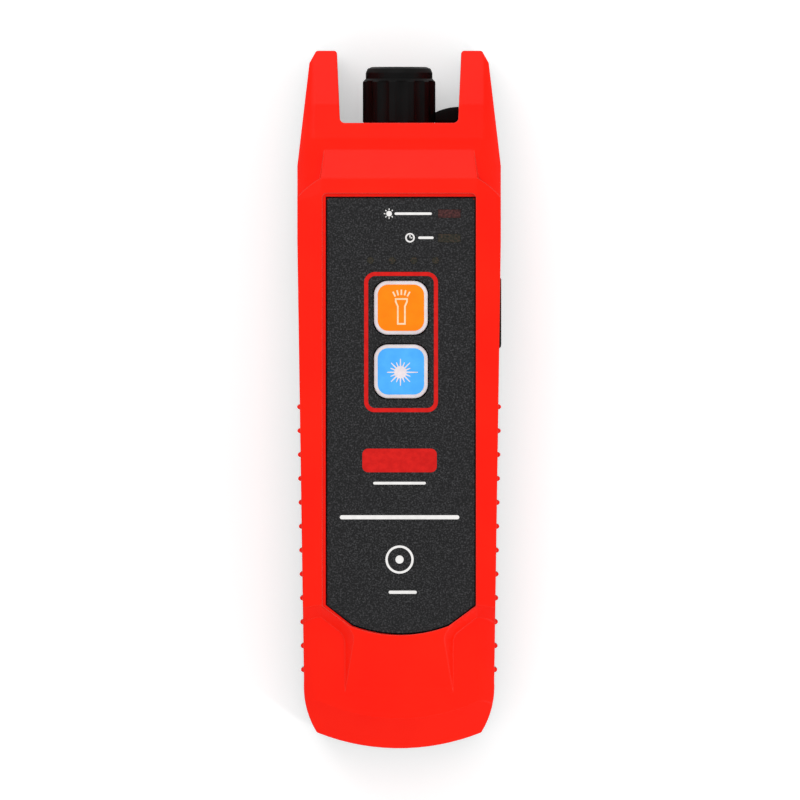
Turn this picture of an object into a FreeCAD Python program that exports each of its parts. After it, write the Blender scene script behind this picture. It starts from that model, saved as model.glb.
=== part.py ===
"""Handheld visual fault locator: two-part housing, keys, fibre port with dust cap, laser and cell.

Frame: millimetres. The tester lies on its back. +X is to the right of the front panel,
+Y towards the fibre port and +Z out of the front panel; the rear face is at z = 0.
"""
import FreeCAD
import Part
import math
import os

from FreeCAD import Vector

# ---------------------------------------------------------------- driving dimensions
# Housing outline (half widths at heights along Y)
SHOULDER_HALF = 22.4
SHOULDER_TOP_Y = 51.5
SHOULDER_LOW_Y = 35.0
FOOT_HALF = 20.95
FOOT_Y = -62.0
CORNER_HALF = 18.1
CORNER_Y = -73.3
BOTTOM_Y = -76.8
DECK_Y = 60.9
HORN_TOP_Y = 76.8
HORN_INNER_ROOT = 13.0
HORN_INNER_TIP = 13.7
HORN_OUTER_TIP = 19.75
HORN_CUT = 2.7
HORN_ROOT_RADIUS = 1.1
HORN_TIP_RADIUS = 0.7

# Depths
PARTING_Z = 15.0
BODY_FRONT_Z = 27.6
PANEL_FRONT_Z = 30.0
WALL = 2.0
HORN_SETBACK = 3.6
HORN_LEAN_START_Y = 57.5
HORN_LEAN_KNEE_Y = 65.0
HORN_KNEE_SETBACK = 0.9

# Bevels round the front and the rear faces
CREASE_HALF = 17.4
HORN_CREASE_HALF = 18.6
SIDE_BEVEL_DROP = 4.0
BOTTOM_BEVEL = 6.6
BOTTOM_BEVEL_DROP = 3.8
REAR_BEVEL = 3.0
REAR_BEVEL_DROP = 3.0
BEVEL_FULLNESS = 0.8
BEVEL_MARGIN = 0.3
FOOT_BULGE = 0.9
CORNER_INSET_SHARE = 0.8

# Raised panel, ramp and tongue
PANEL_HALF = 17.2
PANEL_TOP_Y = 48.7
PANEL_SHOULDER_Y = 43.9
PANEL_LOW_Y = -45.0
PANEL_DIAGONAL_HALF = 11.3
PANEL_DIAGONAL_Y = -49.8
PANEL_END_Y = -52.0
RIM_SPREAD = 2.1
RIM_FOOT_TURN = 0.8
RIM_SINK = 3.0
PANEL_CORNER_DROP = 0.2
PANEL_SIDE_RISE = 0.4
PANEL_OVERLAP = 5.0
PANEL_SHOULDER_DROP = 0.8
SIDE_FACE_DROP = 1.2
PANEL_SHOULDER_BULGE = 0.5
PANEL_MITRE = 0.35
STRIP_SLOPE = 0.09
RAMP_TOP_Y = 55.3
RAMP_TOP_HALF = 16.4
TONGUE_HALF = 9.8
TONGUE_TIP_Y = -64.9
RAMP_FLANK = 0.15
BODY_SINK = 0.1

# Label and its recess
LABEL_DEPTH = 0.8
LABEL_THICKNESS = 0.4
LABEL_LEFT = -15.8
LABEL_RIGHT = 16.6
LABEL_TOP_Y = 44.3
LABEL_LOW_Y = -45.2
LABEL_DIAGONAL_HALF = 10.6
LABEL_DIAGONAL_Y = -49.4
LABEL_END_Y = -51.4
LABEL_CORNER = 0.6
RECESS_GAP = 0.45
RECESS_HALF = 16.9
RECESS_TOP_Y = 45.4

# Keys
KEY_SIZE = 12.0
KEY_CORNER = 3.0
KEY_PROUD = 0.9
KEY_BEVEL = 0.35
KEY_TRAVEL = 0.5
KEY_GAP = 0.15
TORCH_KEY_Y = 20.2
KEY_PITCH = 14.0
KEY_FLANGE = 1.0
KEY_FLANGE_THICKNESS = 0.8
KEY_FLANGE_GAP = 0.05
STEM_RADIUS = 1.6

# Indicator windows in the label
WINDOW_X = 11.05
WINDOW_WIDTH = 4.9
LASER_WINDOW_Y = 40.9
AUTO_OFF_WINDOW_Y = 35.5
WINDOW_HEIGHT = 1.8
LEVEL_LIGHT_Y = 30.6
LEVEL_LIGHT_PITCH = 4.77
LEVEL_LIGHT_COUNT = 4
LEVEL_LIGHT_FIRST_X = -6.3
LEVEL_LIGHT_RADIUS = 0.75
WINDOW_GAP = 0.05

# Grip ribs
RIB_COUNT = 12
RIB_FIRST_Y = -1.6
RIB_PITCH = 5.26
RIB_WIDTH = 1.5
RIB_PROUD = 0.6
RIB_END = 0.6
RIB_FLANK = 0.65
RIB_CREST = 0.25

# Fibre port
PORT_BORE = 2.5
SLEEVE_WALL = 0.35
SLEEVE_LENGTH = 10.0
SLEEVE_SLOT = 0.4
BEAM_BORE = 2.16
BARREL_DIAMETER = 9.0
BARREL_PROUD = 9.5
BARREL_FLANGE = 13.0
BARREL_FLANGE_THICKNESS = 1.5
BARREL_THREAD = 8.0
BARREL_SHOULDER = 0.5
BARREL_CHAMFER = 0.5
NUT_ACROSS = 12.0
NUT_THICKNESS = 2.0

# Dust cap
CAP_RIDGE_DIAMETER = 16.1
CAP_COLLAR_DIAMETER = 14.7
CAP_HEIGHT = 12.4
CAP_COLLAR_HEIGHT = 3.3
CAP_TOP_ROUND = 1.3
CAP_FOOT_CHAMFER = 0.3
CAP_RIDGES = 12
CAP_RIDGE_TURN = 11.0
CAP_FLUTE_RADIUS = 2.6
CAP_FLUTE_DEPTH = 0.55
CAP_TOP_WALL = 2.0
CAP_FLUTE_OVERRUN = 0.2
CAP_FIT = 0.05
CAP_SEAT_GAP = 0.05

# Tether strap
TETHER_TOP_Y = 64.5
TETHER_WIDTH = 6.0
TETHER_DIP = 1.1
TETHER_ARCH = 0.35
TETHER_WALL_GAP = 0.04
TETHER_GAP = 0.3

# Laser
LASER_DIAMETER = 10.0
LASER_LENGTH = 24.0
LASER_WALL = 1.2
DIODE_DIAMETER = 5.6
DIODE_LENGTH = 4.0
LENS_THICKNESS = 2.0
LENS_BULGE = 0.6
BEAM_HOLE_RADIUS = 1.5
DIODE_PIN = 0.5
DIODE_PIN_LENGTH = 3.0
DIODE_PIN_PITCH = 1.2

# Torch
TORCH_X = -10.4
TORCH_LENS_DIAMETER = 4.4
TORCH_RIM = 1.0
TORCH_RIM_WIDTH = 0.8
TORCH_RISE = 2.6
TORCH_LEG_LENGTH = 2.5
TORCH_LED_DIAMETER = 5.0
TORCH_LED_LENGTH = 6.0
TORCH_LED_COLLAR = 0.4
TORCH_LEG = 0.5
TORCH_LEG_PITCH = 2.54

# Side cover and charging socket
COVER_LOW_Y = 11.1
COVER_TOP_Y = 28.0
COVER_DEPTH = 9.0
COVER_THICKNESS = 2.0
COVER_PROUD = 0.35
COVER_DROP = 2.2
NOTCH_RADIUS = 2.0
NOTCH_DEPTH = 0.6
PIN_SEAT = 1.2
PIN_HOLE_GAP = 0.02
PIN_RUNNING_GAP = 0.06
CHARGING_BOARD_THICKNESS = 1.0
CHARGING_BOARD_LENGTH = 16.0
CHARGING_BOARD_SETBACK = 2.0
CHARGING_BOARD_BACK = 1.0
CHARGING_POST_RADIUS = 1.5
CHARGING_POST_PITCH = 10.0
POCKET_WALL = 1.6
COVER_GAP = 0.15
PIN_RADIUS = 0.5
SOCKET_LENGTH = 9.0
SOCKET_HEIGHT = 3.3
SOCKET_DEPTH = 7.3
SOCKET_WALL = 0.3
SOCKET_GAP = 0.2
PLUG_LENGTH = 7.2
PLUG_HEIGHT = 2.2
PLUG_DEPTH = 1.6
CONTACT_TONGUE_WIDTH = 6.6
CONTACT_TONGUE_THICKNESS = 0.7
CONTACT_TONGUE_GAP = 0.3

# Board and what is on it
BOARD_THICKNESS = 1.6
BOARD_HALF = 15.6
BOARD_TOP_Y = 46.0
BOARD_LOW_Y = -44.0
BOARD_CORNER = 2.0
BOARD_CELL_GAP = 0.5
BOARD_NOTCH_GAP = 0.3
BOARD_EDGE_ROOM = 0.6
BOARD_END_ROOM = 2.0
SWITCH_SIZE = 6.0
SWITCH_HEIGHT = 2.0
SWITCH_BUTTON_RADIUS = 1.7
SWITCH_BUTTON_GAP = 0.1
SWITCH_BUTTON_SINK = 0.9
SWITCH_FLOOR = 0.4
CHIP_X = -9.0
CHIP_Y = -12.0
CHIP_SIZE = 7.0
CHIP_HEIGHT = 1.2
COIL_X = 7.0
COIL_Y = -14.0
COIL_SIZE = 6.0
COIL_HEIGHT = 3.0
BOARD_SCREW_X = 12.6
BOARD_SCREW_TOP_Y = 28.0
BOARD_SCREW_LOW_Y = -40.0
BOARD_SCREW_RADIUS = 1.0
BOARD_SCREW_LENGTH = 5.0
BOARD_SCREW_HEAD_RADIUS = 1.8
BOARD_SCREW_HEAD_HEIGHT = 1.2
BOARD_SCREW_SLOT = 1.2
BOARD_BOSS_RADIUS = 2.6

# Cell
CELL_DIAMETER = 18.4
CELL_LENGTH = 65.0
CELL_TOP_Y = 4.0
CELL_FLOOR_GAP = 0.2
CONTACT_ROOM = 1.6
SADDLE_THICKNESS = 1.6
CELL_SADDLE_SIDE = 1.5
LASER_SADDLE_SIDE = 2.0
LASER_SADDLE_INSET = 4.0
SADDLE_TOP_DROP = 2.0
CELL_CHAMFER = 0.6
TERMINAL_RADIUS = 2.8
TERMINAL_HEIGHT = 1.0
CONTACT_HALF = 4.5
CONTACT_LEAF = 0.4
CONTACT_BOW_RADIUS = 5.0

# Case screws
SCREW_X = 15.2
SCREW_TOP_Y = 46.5
SCREW_LOW_Y = -67.0
SCREW_RADIUS = 1.25
SCREW_HEAD_RADIUS = 2.4
SCREW_HEAD_HEIGHT = 1.8
SCREW_WELL_RADIUS = 2.7
SCREW_WELL_DEPTH = 4.0
SCREW_BOSS_RADIUS = 3.6
SCREW_LENGTH = 14.0
SCREW_GAP = 0.1
SCREW_SLOT = 1.7
SCREW_SLOT_DEPTH = 0.9
SCREW_SLOT_WIDTH = 0.6

# Seal between the shells
SEAL_WIDTH = 0.8
SEAL_DEPTH = 0.8
SEAL_INSET = 0.6

# Overlap between pieces of one solid, and how far a cutter runs past what it cuts
SINK = 0.5
OVERCUT = 1.0

# ---------------------------------------------------------------- derived dimensions
FRONT_DEPTH = BODY_FRONT_Z - PARTING_Z
PANEL_STEP = PANEL_FRONT_Z - BODY_FRONT_Z
RECESS_Z = PANEL_FRONT_Z - LABEL_DEPTH
LABEL_TOP_Z = RECESS_Z + LABEL_THICKNESS
PANEL_INNER_Z = RECESS_Z - WALL
LASER_KEY_Y = TORCH_KEY_Y - KEY_PITCH
KEY_X = (LABEL_LEFT + LABEL_RIGHT) / 2
BARREL_THREAD_RADIUS = BARREL_DIAMETER / 2 - BARREL_SHOULDER
TORCH_Z = PARTING_Z + TORCH_LENS_DIAMETER / 2 + TORCH_RISE
CELL_AXIS_Z = WALL + CELL_FLOOR_GAP + CELL_DIAMETER / 2
BOARD_Z = CELL_AXIS_Z + CELL_DIAMETER / 2 + BOARD_CELL_GAP
BOARD_TOP_Z = BOARD_Z + BOARD_THICKNESS
SWITCH_TOP_Z = BOARD_TOP_Z + SWITCH_HEIGHT
BUTTON_TOP_Z = SWITCH_TOP_Z + KEY_TRAVEL + SWITCH_BUTTON_GAP
DECK_INNER_Y = DECK_Y - WALL
PORT_MOUTH_Y = DECK_Y + BARREL_PROUD
THREAD_END_Y = DECK_Y - BARREL_THREAD
COVER_Y = (COVER_LOW_Y + COVER_TOP_Y) / 2
COVER_Z = PARTING_Z - COVER_DEPTH / 2 - COVER_DROP
ENVELOPE_HALF = SHOULDER_HALF + RIB_PROUD + BEVEL_MARGIN
HORN_SLANT_X = HORN_OUTER_TIP - HORN_CUT * 0.56
SIDE_TAPER = (SHOULDER_HALF - FOOT_HALF) / (SHOULDER_LOW_Y - FOOT_Y)
COVER_OUTER_X = SHOULDER_HALF - (SHOULDER_LOW_Y - COVER_Y) * SIDE_TAPER + COVER_PROUD
COVER_INNER_X = COVER_OUTER_X - COVER_THICKNESS
COVER_PIN_X = COVER_OUTER_X - COVER_THICKNESS / 2
SOCKET_FRONT_X = COVER_INNER_X - SOCKET_GAP
SOCKET_BACK_X = SOCKET_FRONT_X - SOCKET_DEPTH
CHARGING_BOARD_Z = COVER_Z - SOCKET_HEIGHT / 2 - CHARGING_BOARD_THICKNESS
LASER_BACK_Y = THREAD_END_Y - LASER_LENGTH
SLEEVE_RADIUS = PORT_BORE / 2 + SLEEVE_WALL
LASER_INNER_RADIUS = LASER_DIAMETER / 2 - LASER_WALL
CHARGING_BOARD_LOW_X = SOCKET_BACK_X - CHARGING_BOARD_BACK
CHARGING_BOARD_HIGH_X = SOCKET_FRONT_X - CHARGING_BOARD_SETBACK
CONTACT_BACK_Y = CELL_TOP_Y - CELL_LENGTH - CONTACT_ROOM
TINY = 1e-6
NOTHING = Vector(0, 0, 0)
X_AXIS = Vector(1, 0, 0)
Y_AXIS = Vector(0, 1, 0)
Z_AXIS = Vector(0, 0, 1)


# ---------------------------------------------------------------- small helpers
def box(low, high):
    """Solid box between two corners."""
    size = [b - a for a, b in zip(low, high)]
    return Part.makeBox(size[0], size[1], size[2], Vector(*low))


def rod(radius, start, length, axis):
    """Solid cylinder from its start point along an axis."""
    return Part.makeCylinder(radius, length, Vector(*start), axis)


def closed_wire(points):
    """Closed polygon through 3-D points."""
    return Part.makePolygon([Vector(*p) for p in points] + [Vector(*points[0])])


def prism(points, low, high):
    """Polygon in the XY plane, standing from z = low to z = high."""
    face = Part.Face(closed_wire([(x, y, low) for x, y in points]))
    return face.extrude(Vector(0, 0, high - low))


def mirrored(points):
    """Right-hand outline points, completed with their mirror images across x = 0."""
    return points + [(-x, y) for x, y in reversed(points)]


def wire_prism(wire, low, high):
    """Closed wire drawn at z = 0, standing from z = low to z = high."""
    face = Part.Face(wire)
    face.translate(Vector(0, 0, low))
    return face.extrude(Vector(0, 0, high - low))


def rounded_box(centre, size, corner, low, high):
    """Box with round vertical edges, centred in the XY plane."""
    x, y = centre
    block = box((x - size[0] / 2, y - size[1] / 2, low), (x + size[0] / 2, y + size[1] / 2, high))
    upright = [e for e in block.Edges if is_upright(e)]
    return block.makeFillet(corner, upright)


def is_upright(edge):
    """True for an edge parallel to Z."""
    start, end = edge.Vertexes[0].Point, edge.Vertexes[-1].Point
    return abs(start.x - end.x) < TINY and abs(start.y - end.y) < TINY and abs(start.z - end.z) > TINY


def round_upright(solid, places, radius):
    """Fillets the upright edges that stand at the given XY places."""
    chosen = []
    for edge in solid.Edges:
        foot = edge.Vertexes[0].Point
        if is_upright(edge) and any(math.hypot(foot.x - x, foot.y - y) < 10 * TINY for x, y in places):
            chosen.append(edge)
    return solid.makeFillet(radius, chosen)


def turned(profile, centre, axis_direction):
    """Full revolve of a closed profile wire about an axis through centre."""
    return Part.Face(profile).revolve(centre, axis_direction, 360)


def both_sides(points):
    """The given XY places and their mirror images across x = 0."""
    return [(side * x, y) for x, y in points for side in (1, -1)]


# ---------------------------------------------------------------- housing form
def silhouette_half(y):
    """Half width of the housing at a height along Y, horns included."""
    stations = [
        (CORNER_Y, CORNER_HALF),
        (FOOT_Y, FOOT_HALF),
        (SHOULDER_LOW_Y, SHOULDER_HALF),
        (SHOULDER_TOP_Y, SHOULDER_HALF),
        (HORN_TOP_Y - HORN_CUT, HORN_OUTER_TIP),
    ]
    for (y0, x0), (y1, x1) in zip(stations, stations[1:]):
        if y <= y1:
            return x0 + (x1 - x0) * (y - y0) / (y1 - y0)
    return HORN_OUTER_TIP


def envelope_half(y):
    """Half width that the bevelled form reaches at a height along Y, past the ribs."""
    if y <= SHOULDER_TOP_Y:
        return ENVELOPE_HALF
    return silhouette_half(y) + ENVELOPE_HALF - SHOULDER_HALF


def foot_corner(inset):
    """Right-hand corner between the side and the bottom arc."""
    shift = CORNER_INSET_SHARE * inset
    return Vector(CORNER_HALF - shift, CORNER_Y + shift, 0)


def side_arc(inset):
    """Round foot corner on the right, from the bottom corner up to the straight side."""
    return bulged(foot_corner(inset), Vector(FOOT_HALF - inset, FOOT_Y, 0), FOOT_BULGE)


def bulged(start, end, bulge):
    """Arc from start to end that swells to the right of the way it runs."""
    chord = end - start
    outward = Vector(chord.y, -chord.x, 0).normalize()
    return Part.Arc(start, (start + end) * 0.5 + outward * bulge, end).toShape()


def flip_x(edge):
    """Mirror image of an edge across x = 0."""
    return edge.mirror(NOTHING, X_AXIS)


def lower_edges(inset):
    """Foot corners and bottom arc, from the right side round to the left side."""
    corner = foot_corner(inset)
    bottom = Vector(0, BOTTOM_Y + inset, 0)
    across = Part.Arc(corner, bottom, Vector(-corner.x, corner.y, 0)).toShape()
    right = side_arc(inset)
    return [right, across, flip_x(right)]


def outline_wire(points, inset):
    """Housing outline: given right-hand points above the foot, plus the round lower end."""
    ends = [(FOOT_HALF - inset, FOOT_Y)] + points
    loop = ends + [(-x, y) for x, y in reversed(ends)]
    vectors = [Vector(x, y, 0) for x, y in loop]
    edges = [Part.LineSegment(a, b).toShape() for a, b in zip(vectors, vectors[1:])]
    return Part.Wire(Part.__sortEdges__(edges + lower_edges(inset)))


def horn_points():
    """Right-hand outline above the foot, up the side and round the guard horn."""
    return [
        (SHOULDER_HALF, SHOULDER_LOW_Y),
        (SHOULDER_HALF, SHOULDER_TOP_Y),
        (HORN_OUTER_TIP, HORN_TOP_Y - HORN_CUT),
        (HORN_SLANT_X, HORN_TOP_Y),
        (HORN_INNER_TIP, HORN_TOP_Y),
        (HORN_INNER_ROOT, DECK_Y),
    ]


def cavity_points(inset):
    """Right-hand outline of the space inside, that far in from the outside."""
    return [
        (SHOULDER_HALF - inset, SHOULDER_LOW_Y),
        (SHOULDER_HALF - inset, SHOULDER_TOP_Y),
        (silhouette_half(DECK_Y) - inset, DECK_Y - inset),
    ]


def shoulder_arc(crease, outer, face_z, shoulder_z, y):
    """Round bevel from the outer edge to the crease, never higher than the flat face."""
    wide = outer - crease
    drop = abs(face_z - shoulder_z)
    half_turn = BEVEL_FULLNESS * math.atan2(drop, wide)
    sagitta = math.hypot(wide, drop) / 2 * math.tan(half_turn / 2)
    outward = Vector(drop, 0, math.copysign(wide, face_z - shoulder_z)).normalize()
    start, end = Vector(outer, y, shoulder_z), Vector(crease, y, face_z)
    return Part.Arc(start, (start + end) * 0.5 + outward * sagitta, end).toShape()


def envelope_section(y, crease, setback, side, depth, inset):
    """Cross-section of one half: flat face between creases, with round shoulders."""
    face_z = PARTING_Z + side * (depth - setback)
    shoulder_z = face_z - side * SIDE_BEVEL_DROP
    outer = envelope_half(y) - inset
    base_z = PARTING_Z - side
    right = [Vector(x, y, z) for x, z in ((outer, base_z), (outer, shoulder_z), (crease, face_z))]
    left = [Vector(-p.x, p.y, p.z) for p in right]
    round_right = shoulder_arc(crease, outer, face_z, shoulder_z, y)
    flats = [(right[0], right[1]), (right[2], left[2]), (left[1], left[0]), (left[0], right[0])]
    edges = [Part.LineSegment(a, b).toShape() for a, b in flats]
    return Part.Wire(Part.__sortEdges__(edges + [round_right, flip_x(round_right)]))


def envelope(side, depth, inset):
    """Bevelled form that one half is cut to, with the horns leaning back towards their tips."""
    crease = CREASE_HALF - inset
    deck_crease = HORN_CREASE_HALF - inset
    lean = (HORN_SETBACK - HORN_KNEE_SETBACK) / (HORN_TOP_Y - HORN_LEAN_KNEE_Y)
    stations = [
        (SHOULDER_TOP_Y, crease, 0),
        (HORN_LEAN_START_Y, deck_crease, 0),
        (HORN_LEAN_KNEE_Y, deck_crease, HORN_KNEE_SETBACK),
        (HORN_TOP_Y + OVERCUT, deck_crease, HORN_SETBACK + lean * OVERCUT),
    ]
    wires = [envelope_section(y, x, back, side, depth, inset) for y, x, back in stations]
    start_y = BOTTOM_Y - OVERCUT
    section = envelope_section(start_y, crease, 0, side, depth, inset)
    body = Part.Face(section).extrude(Vector(0, SHOULDER_TOP_Y - start_y, 0))
    return body.fuse(Part.makeLoft(wires, True, True))


def bottom_bevel(side, depth, width, drop, inset):
    """Ring sector that bevels the lower end along its arc."""
    sagitta = CORNER_Y - BOTTOM_Y
    radius = (CORNER_HALF**2 + sagitta**2) / (2 * sagitta)
    centre = Vector(0, BOTTOM_Y + radius, 0)
    inner = radius - width - inset
    outer = radius + width
    face_z = PARTING_Z + side * depth
    low_z = face_z - side * drop * (outer - inner) / width
    section = [(inner, 0, face_z), (outer, 0, low_z), (outer, 0, face_z + side), (inner, 0, face_z + side)]
    profile = closed_wire(section)
    profile.translate(centre)
    spread = math.degrees(math.asin(ENVELOPE_HALF / inner))
    profile.rotate(centre, Z_AXIS, -90 - spread)
    return Part.Face(profile).revolve(centre, Z_AXIS, 2 * spread)


def half_body(side, depth, inset, bevel, drop):
    """One half of the housing form, solid, from the parting plane to its face."""
    if inset:
        wire = outline_wire(cavity_points(inset), inset)
    else:
        wire = outline_wire(horn_points(), 0)
    low, high = sorted((PARTING_Z, PARTING_Z + side * (depth - inset)))
    solid = wire_prism(wire, low, high)
    if not inset:
        roots = both_sides([(HORN_INNER_ROOT, DECK_Y)])
        tips = both_sides([(HORN_INNER_TIP, HORN_TOP_Y), (HORN_SLANT_X, HORN_TOP_Y)])
        corners = both_sides([(HORN_OUTER_TIP, HORN_TOP_Y - HORN_CUT), (CORNER_HALF, CORNER_Y)])
        solid = round_upright(solid, roots, HORN_ROOT_RADIUS)
        solid = round_upright(solid, tips + corners, HORN_TIP_RADIUS)
        solid = solid.fuse(grip_ribs(side, depth))
    solid = solid.common(envelope(side, depth - inset, inset))
    return solid.cut(bottom_bevel(side, depth - inset, bevel, drop, inset))


def grip_ribs(side, depth):
    """Rows of narrow ribs with bevelled backs up both sides."""
    low, high = sorted((PARTING_Z, PARTING_Z + side * (depth - SIDE_BEVEL_DROP * RIB_END)))
    ribs = []
    for number in range(RIB_COUNT):
        y = RIB_FIRST_Y - number * RIB_PITCH
        foot = silhouette_half(y) - RIB_PROUD
        shoulder, crest = foot + 1.55 * RIB_PROUD, foot + 2 * RIB_PROUD
        half = RIB_WIDTH / 2
        section = [
            (foot, y - half),
            (shoulder, y - RIB_FLANK * half),
            (crest, y - RIB_CREST * half),
            (crest, y + RIB_CREST * half),
            (shoulder, y + RIB_FLANK * half),
            (foot, y + half),
        ]
        for hand in (1, -1):
            ribs.append(prism([(hand * px, py) for px, py in section], low, high))
    return ribs


# ---------------------------------------------------------------- front shell
def panel_outline():
    """Outline of the raised panel: strip, round shoulders, sides past the housing and lower diagonals."""
    reach = SHOULDER_HALF + OVERCUT
    shoulder_top = Vector(PANEL_HALF, PANEL_TOP_Y, 0)
    shoulder_end = Vector(reach, PANEL_SHOULDER_Y - PANEL_SHOULDER_DROP, 0)
    side_points = [
        shoulder_end,
        Vector(reach, PANEL_LOW_Y + PANEL_SIDE_RISE, 0),
        Vector(PANEL_HALF, PANEL_LOW_Y - PANEL_CORNER_DROP, 0),
        Vector(PANEL_DIAGONAL_HALF, PANEL_DIAGONAL_Y, 0),
    ]
    right = [bulged(shoulder_end, shoulder_top, PANEL_SHOULDER_BULGE)]
    right += [Part.LineSegment(a, b).toShape() for a, b in zip(side_points, side_points[1:])]
    end = side_points[-1]
    closing = [
        Part.LineSegment(shoulder_top, Vector(-shoulder_top.x, shoulder_top.y, 0)).toShape(),
        Part.Arc(end, Vector(0, PANEL_END_Y, 0), Vector(-end.x, end.y, 0)).toShape(),
    ]
    return Part.Wire(Part.__sortEdges__(right + [flip_x(e) for e in right] + closing))


def rim_turn_centre(turn):
    """Centre of the turn from the panel diagonal into the tongue, and the diagonal's outward normal."""
    corner = Vector(PANEL_HALF, PANEL_LOW_Y - PANEL_CORNER_DROP, 0)
    along = (Vector(PANEL_DIAGONAL_HALF, PANEL_DIAGONAL_Y, 0) - corner).normalize()
    outward = Vector(-along.y, along.x, 0)
    x = TONGUE_HALF + turn
    y = corner.y + (turn - (x - corner.x) * outward.x) / outward.y
    return Vector(x, y, 0), outward


def rim_wire(turn, offset, z):
    """Outline of the raised form's lower end: sides, diagonals, round turns and tongue."""
    centre, outward = rim_turn_centre(turn)
    radius = turn - offset
    drop = offset / outward.y
    wide = SHOULDER_HALF + OVERCUT
    start = centre - outward * radius
    middle = centre - (outward + X_AXIS).normalize() * radius
    end = centre - X_AXIS * radius
    side = [
        Vector(wide, PANEL_LOW_Y + PANEL_OVERLAP, 0),
        Vector(wide, PANEL_LOW_Y + PANEL_SIDE_RISE + drop, 0),
        Vector(PANEL_HALF, PANEL_LOW_Y - PANEL_CORNER_DROP + drop, 0),
        start,
    ]
    tip = Vector(end.x, TONGUE_TIP_Y - OVERCUT, 0)
    right = [Part.LineSegment(p, q).toShape() for p, q in zip(side, side[1:])]
    right += [Part.Arc(start, middle, end).toShape(), Part.LineSegment(end, tip).toShape()]
    ends = [Part.LineSegment(p, Vector(-p.x, p.y, 0)).toShape() for p in (side[0], tip)]
    wire = Part.Wire(Part.__sortEdges__(right + [flip_x(e) for e in right] + ends))
    wire.translate(Vector(0, 0, z))
    return wire


def lower_form():
    """Sloping band round the panel's lower end, turning into the tongue that runs down to the foot."""
    depth = PANEL_STEP + RIM_SINK
    spread = RIM_SPREAD * depth / PANEL_STEP
    turn = RIM_FOOT_TURN + spread
    top = rim_wire(turn, 0, PANEL_FRONT_Z)
    foot = rim_wire(turn, spread, PANEL_FRONT_Z - depth)
    form = Part.makeLoft([top, foot], True, True)
    slope = (PANEL_STEP + BODY_SINK) / (PANEL_END_Y - TONGUE_TIP_Y)
    low_y = TONGUE_TIP_Y - 2 * OVERCUT

    def tongue_z(x, y):
        return PANEL_FRONT_Z - slope * (PANEL_END_Y - y)

    wide = SHOULDER_HALF + 2 * OVERCUT
    return form.cut(sloped_cutter(mirrored([(wide, PANEL_END_Y), (wide, low_y)]), tongue_z))


def sloped_bar(stations, side_slope):
    """Bar along Y with sloping sides; each station gives y, the top's height and its half width."""
    base_z = BODY_FRONT_Z - OVERCUT
    wires = []
    for y, top_z, half in stations:
        foot = half + (top_z - base_z) * side_slope
        section = mirrored([(foot, base_z), (half, top_z)])
        wires.append(closed_wire([(x, y, z) for x, z in section]))
    return Part.makeLoft(wires, True, True)


def ramp():
    """Ramp from the band below the deck up to the panel."""
    strip = PANEL_TOP_Y - RECESS_TOP_Y
    strip_z = PANEL_FRONT_Z - STRIP_SLOPE * strip
    stations = [
        (PANEL_TOP_Y - strip, strip_z, PANEL_HALF),
        (PANEL_TOP_Y, strip_z, PANEL_HALF),
        (RAMP_TOP_Y, BODY_FRONT_Z - BODY_SINK, RAMP_TOP_HALF),
    ]
    return sloped_bar(stations, RAMP_FLANK)


def sloped_cutter(plan, height):
    """Cutter above a sloping plane; height gives the plane's z at an XY point."""
    low = closed_wire([(x, y, height(x, y)) for x, y in plan])
    high = closed_wire([(x, y, PANEL_FRONT_Z + OVERCUT) for x, y in plan])
    return Part.makeLoft([low, high], True, True)


def panel_slopes():
    """Cutters that slope the panel's sides, its upper strip and the corners between them."""
    reach = SHOULDER_HALF + 2 * OVERCUT
    low_y = TONGUE_TIP_Y
    mitre_y = RECESS_TOP_Y
    end_y = mitre_y - (reach - PANEL_HALF) * PANEL_MITRE
    side_slope = SIDE_FACE_DROP / (SHOULDER_HALF - PANEL_HALF)
    corner_slope = side_slope + STRIP_SLOPE * PANEL_MITRE
    side_plan = [(PANEL_HALF, low_y), (reach, low_y), (reach, end_y), (PANEL_HALF, mitre_y)]
    corner_plan = [(PANEL_HALF, mitre_y), (reach, end_y), (reach, RAMP_TOP_Y), (PANEL_HALF, RAMP_TOP_Y)]
    strip_plan = mirrored([(PANEL_HALF, mitre_y), (PANEL_HALF, RAMP_TOP_Y)])

    def side_z(x, y):
        return PANEL_FRONT_Z - side_slope * (x - PANEL_HALF)

    def strip_z(x, y):
        return PANEL_FRONT_Z - STRIP_SLOPE * (y - mitre_y)

    def corner_z(x, y):
        return strip_z(x, y) - corner_slope * (x - PANEL_HALF)

    right = [sloped_cutter(side_plan, side_z), sloped_cutter(corner_plan, corner_z)]
    left = [cutter.mirror(NOTHING, X_AXIS) for cutter in right]
    return right + left + [sloped_cutter(strip_plan, strip_z)]


def label_shape(left, right, top, gap, low, high):
    """Label-like plate: straight sides, lower diagonals and a round lower edge."""
    middle = (left + right) / 2
    diagonal = LABEL_DIAGONAL_HALF + 0.5 * gap
    diagonal_y = LABEL_DIAGONAL_Y - gap
    points = [
        (right, LABEL_LOW_Y - 0.5 * gap),
        (right, top),
        (left, top),
        (left, LABEL_LOW_Y - 0.5 * gap),
        (middle - diagonal, diagonal_y),
    ]
    vectors = [Vector(x, y, 0) for x, y in points]
    start = Vector(middle + diagonal, diagonal_y, 0)
    edges = [Part.LineSegment(a, b).toShape() for a, b in zip([start] + vectors, vectors)]
    edges.append(Part.Arc(vectors[-1], Vector(middle, LABEL_END_Y - gap, 0), start).toShape())
    solid = wire_prism(Part.Wire(Part.__sortEdges__(edges)), low, high)
    return round_upright(solid, points[1:3], LABEL_CORNER + gap)


def label_recess():
    """Recess in the panel that the label lies in, wider at the left than at the right."""
    high = PANEL_FRONT_Z + OVERCUT
    return label_shape(-RECESS_HALF, RECESS_HALF, RECESS_TOP_Y, RECESS_GAP, RECESS_Z, high)


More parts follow.
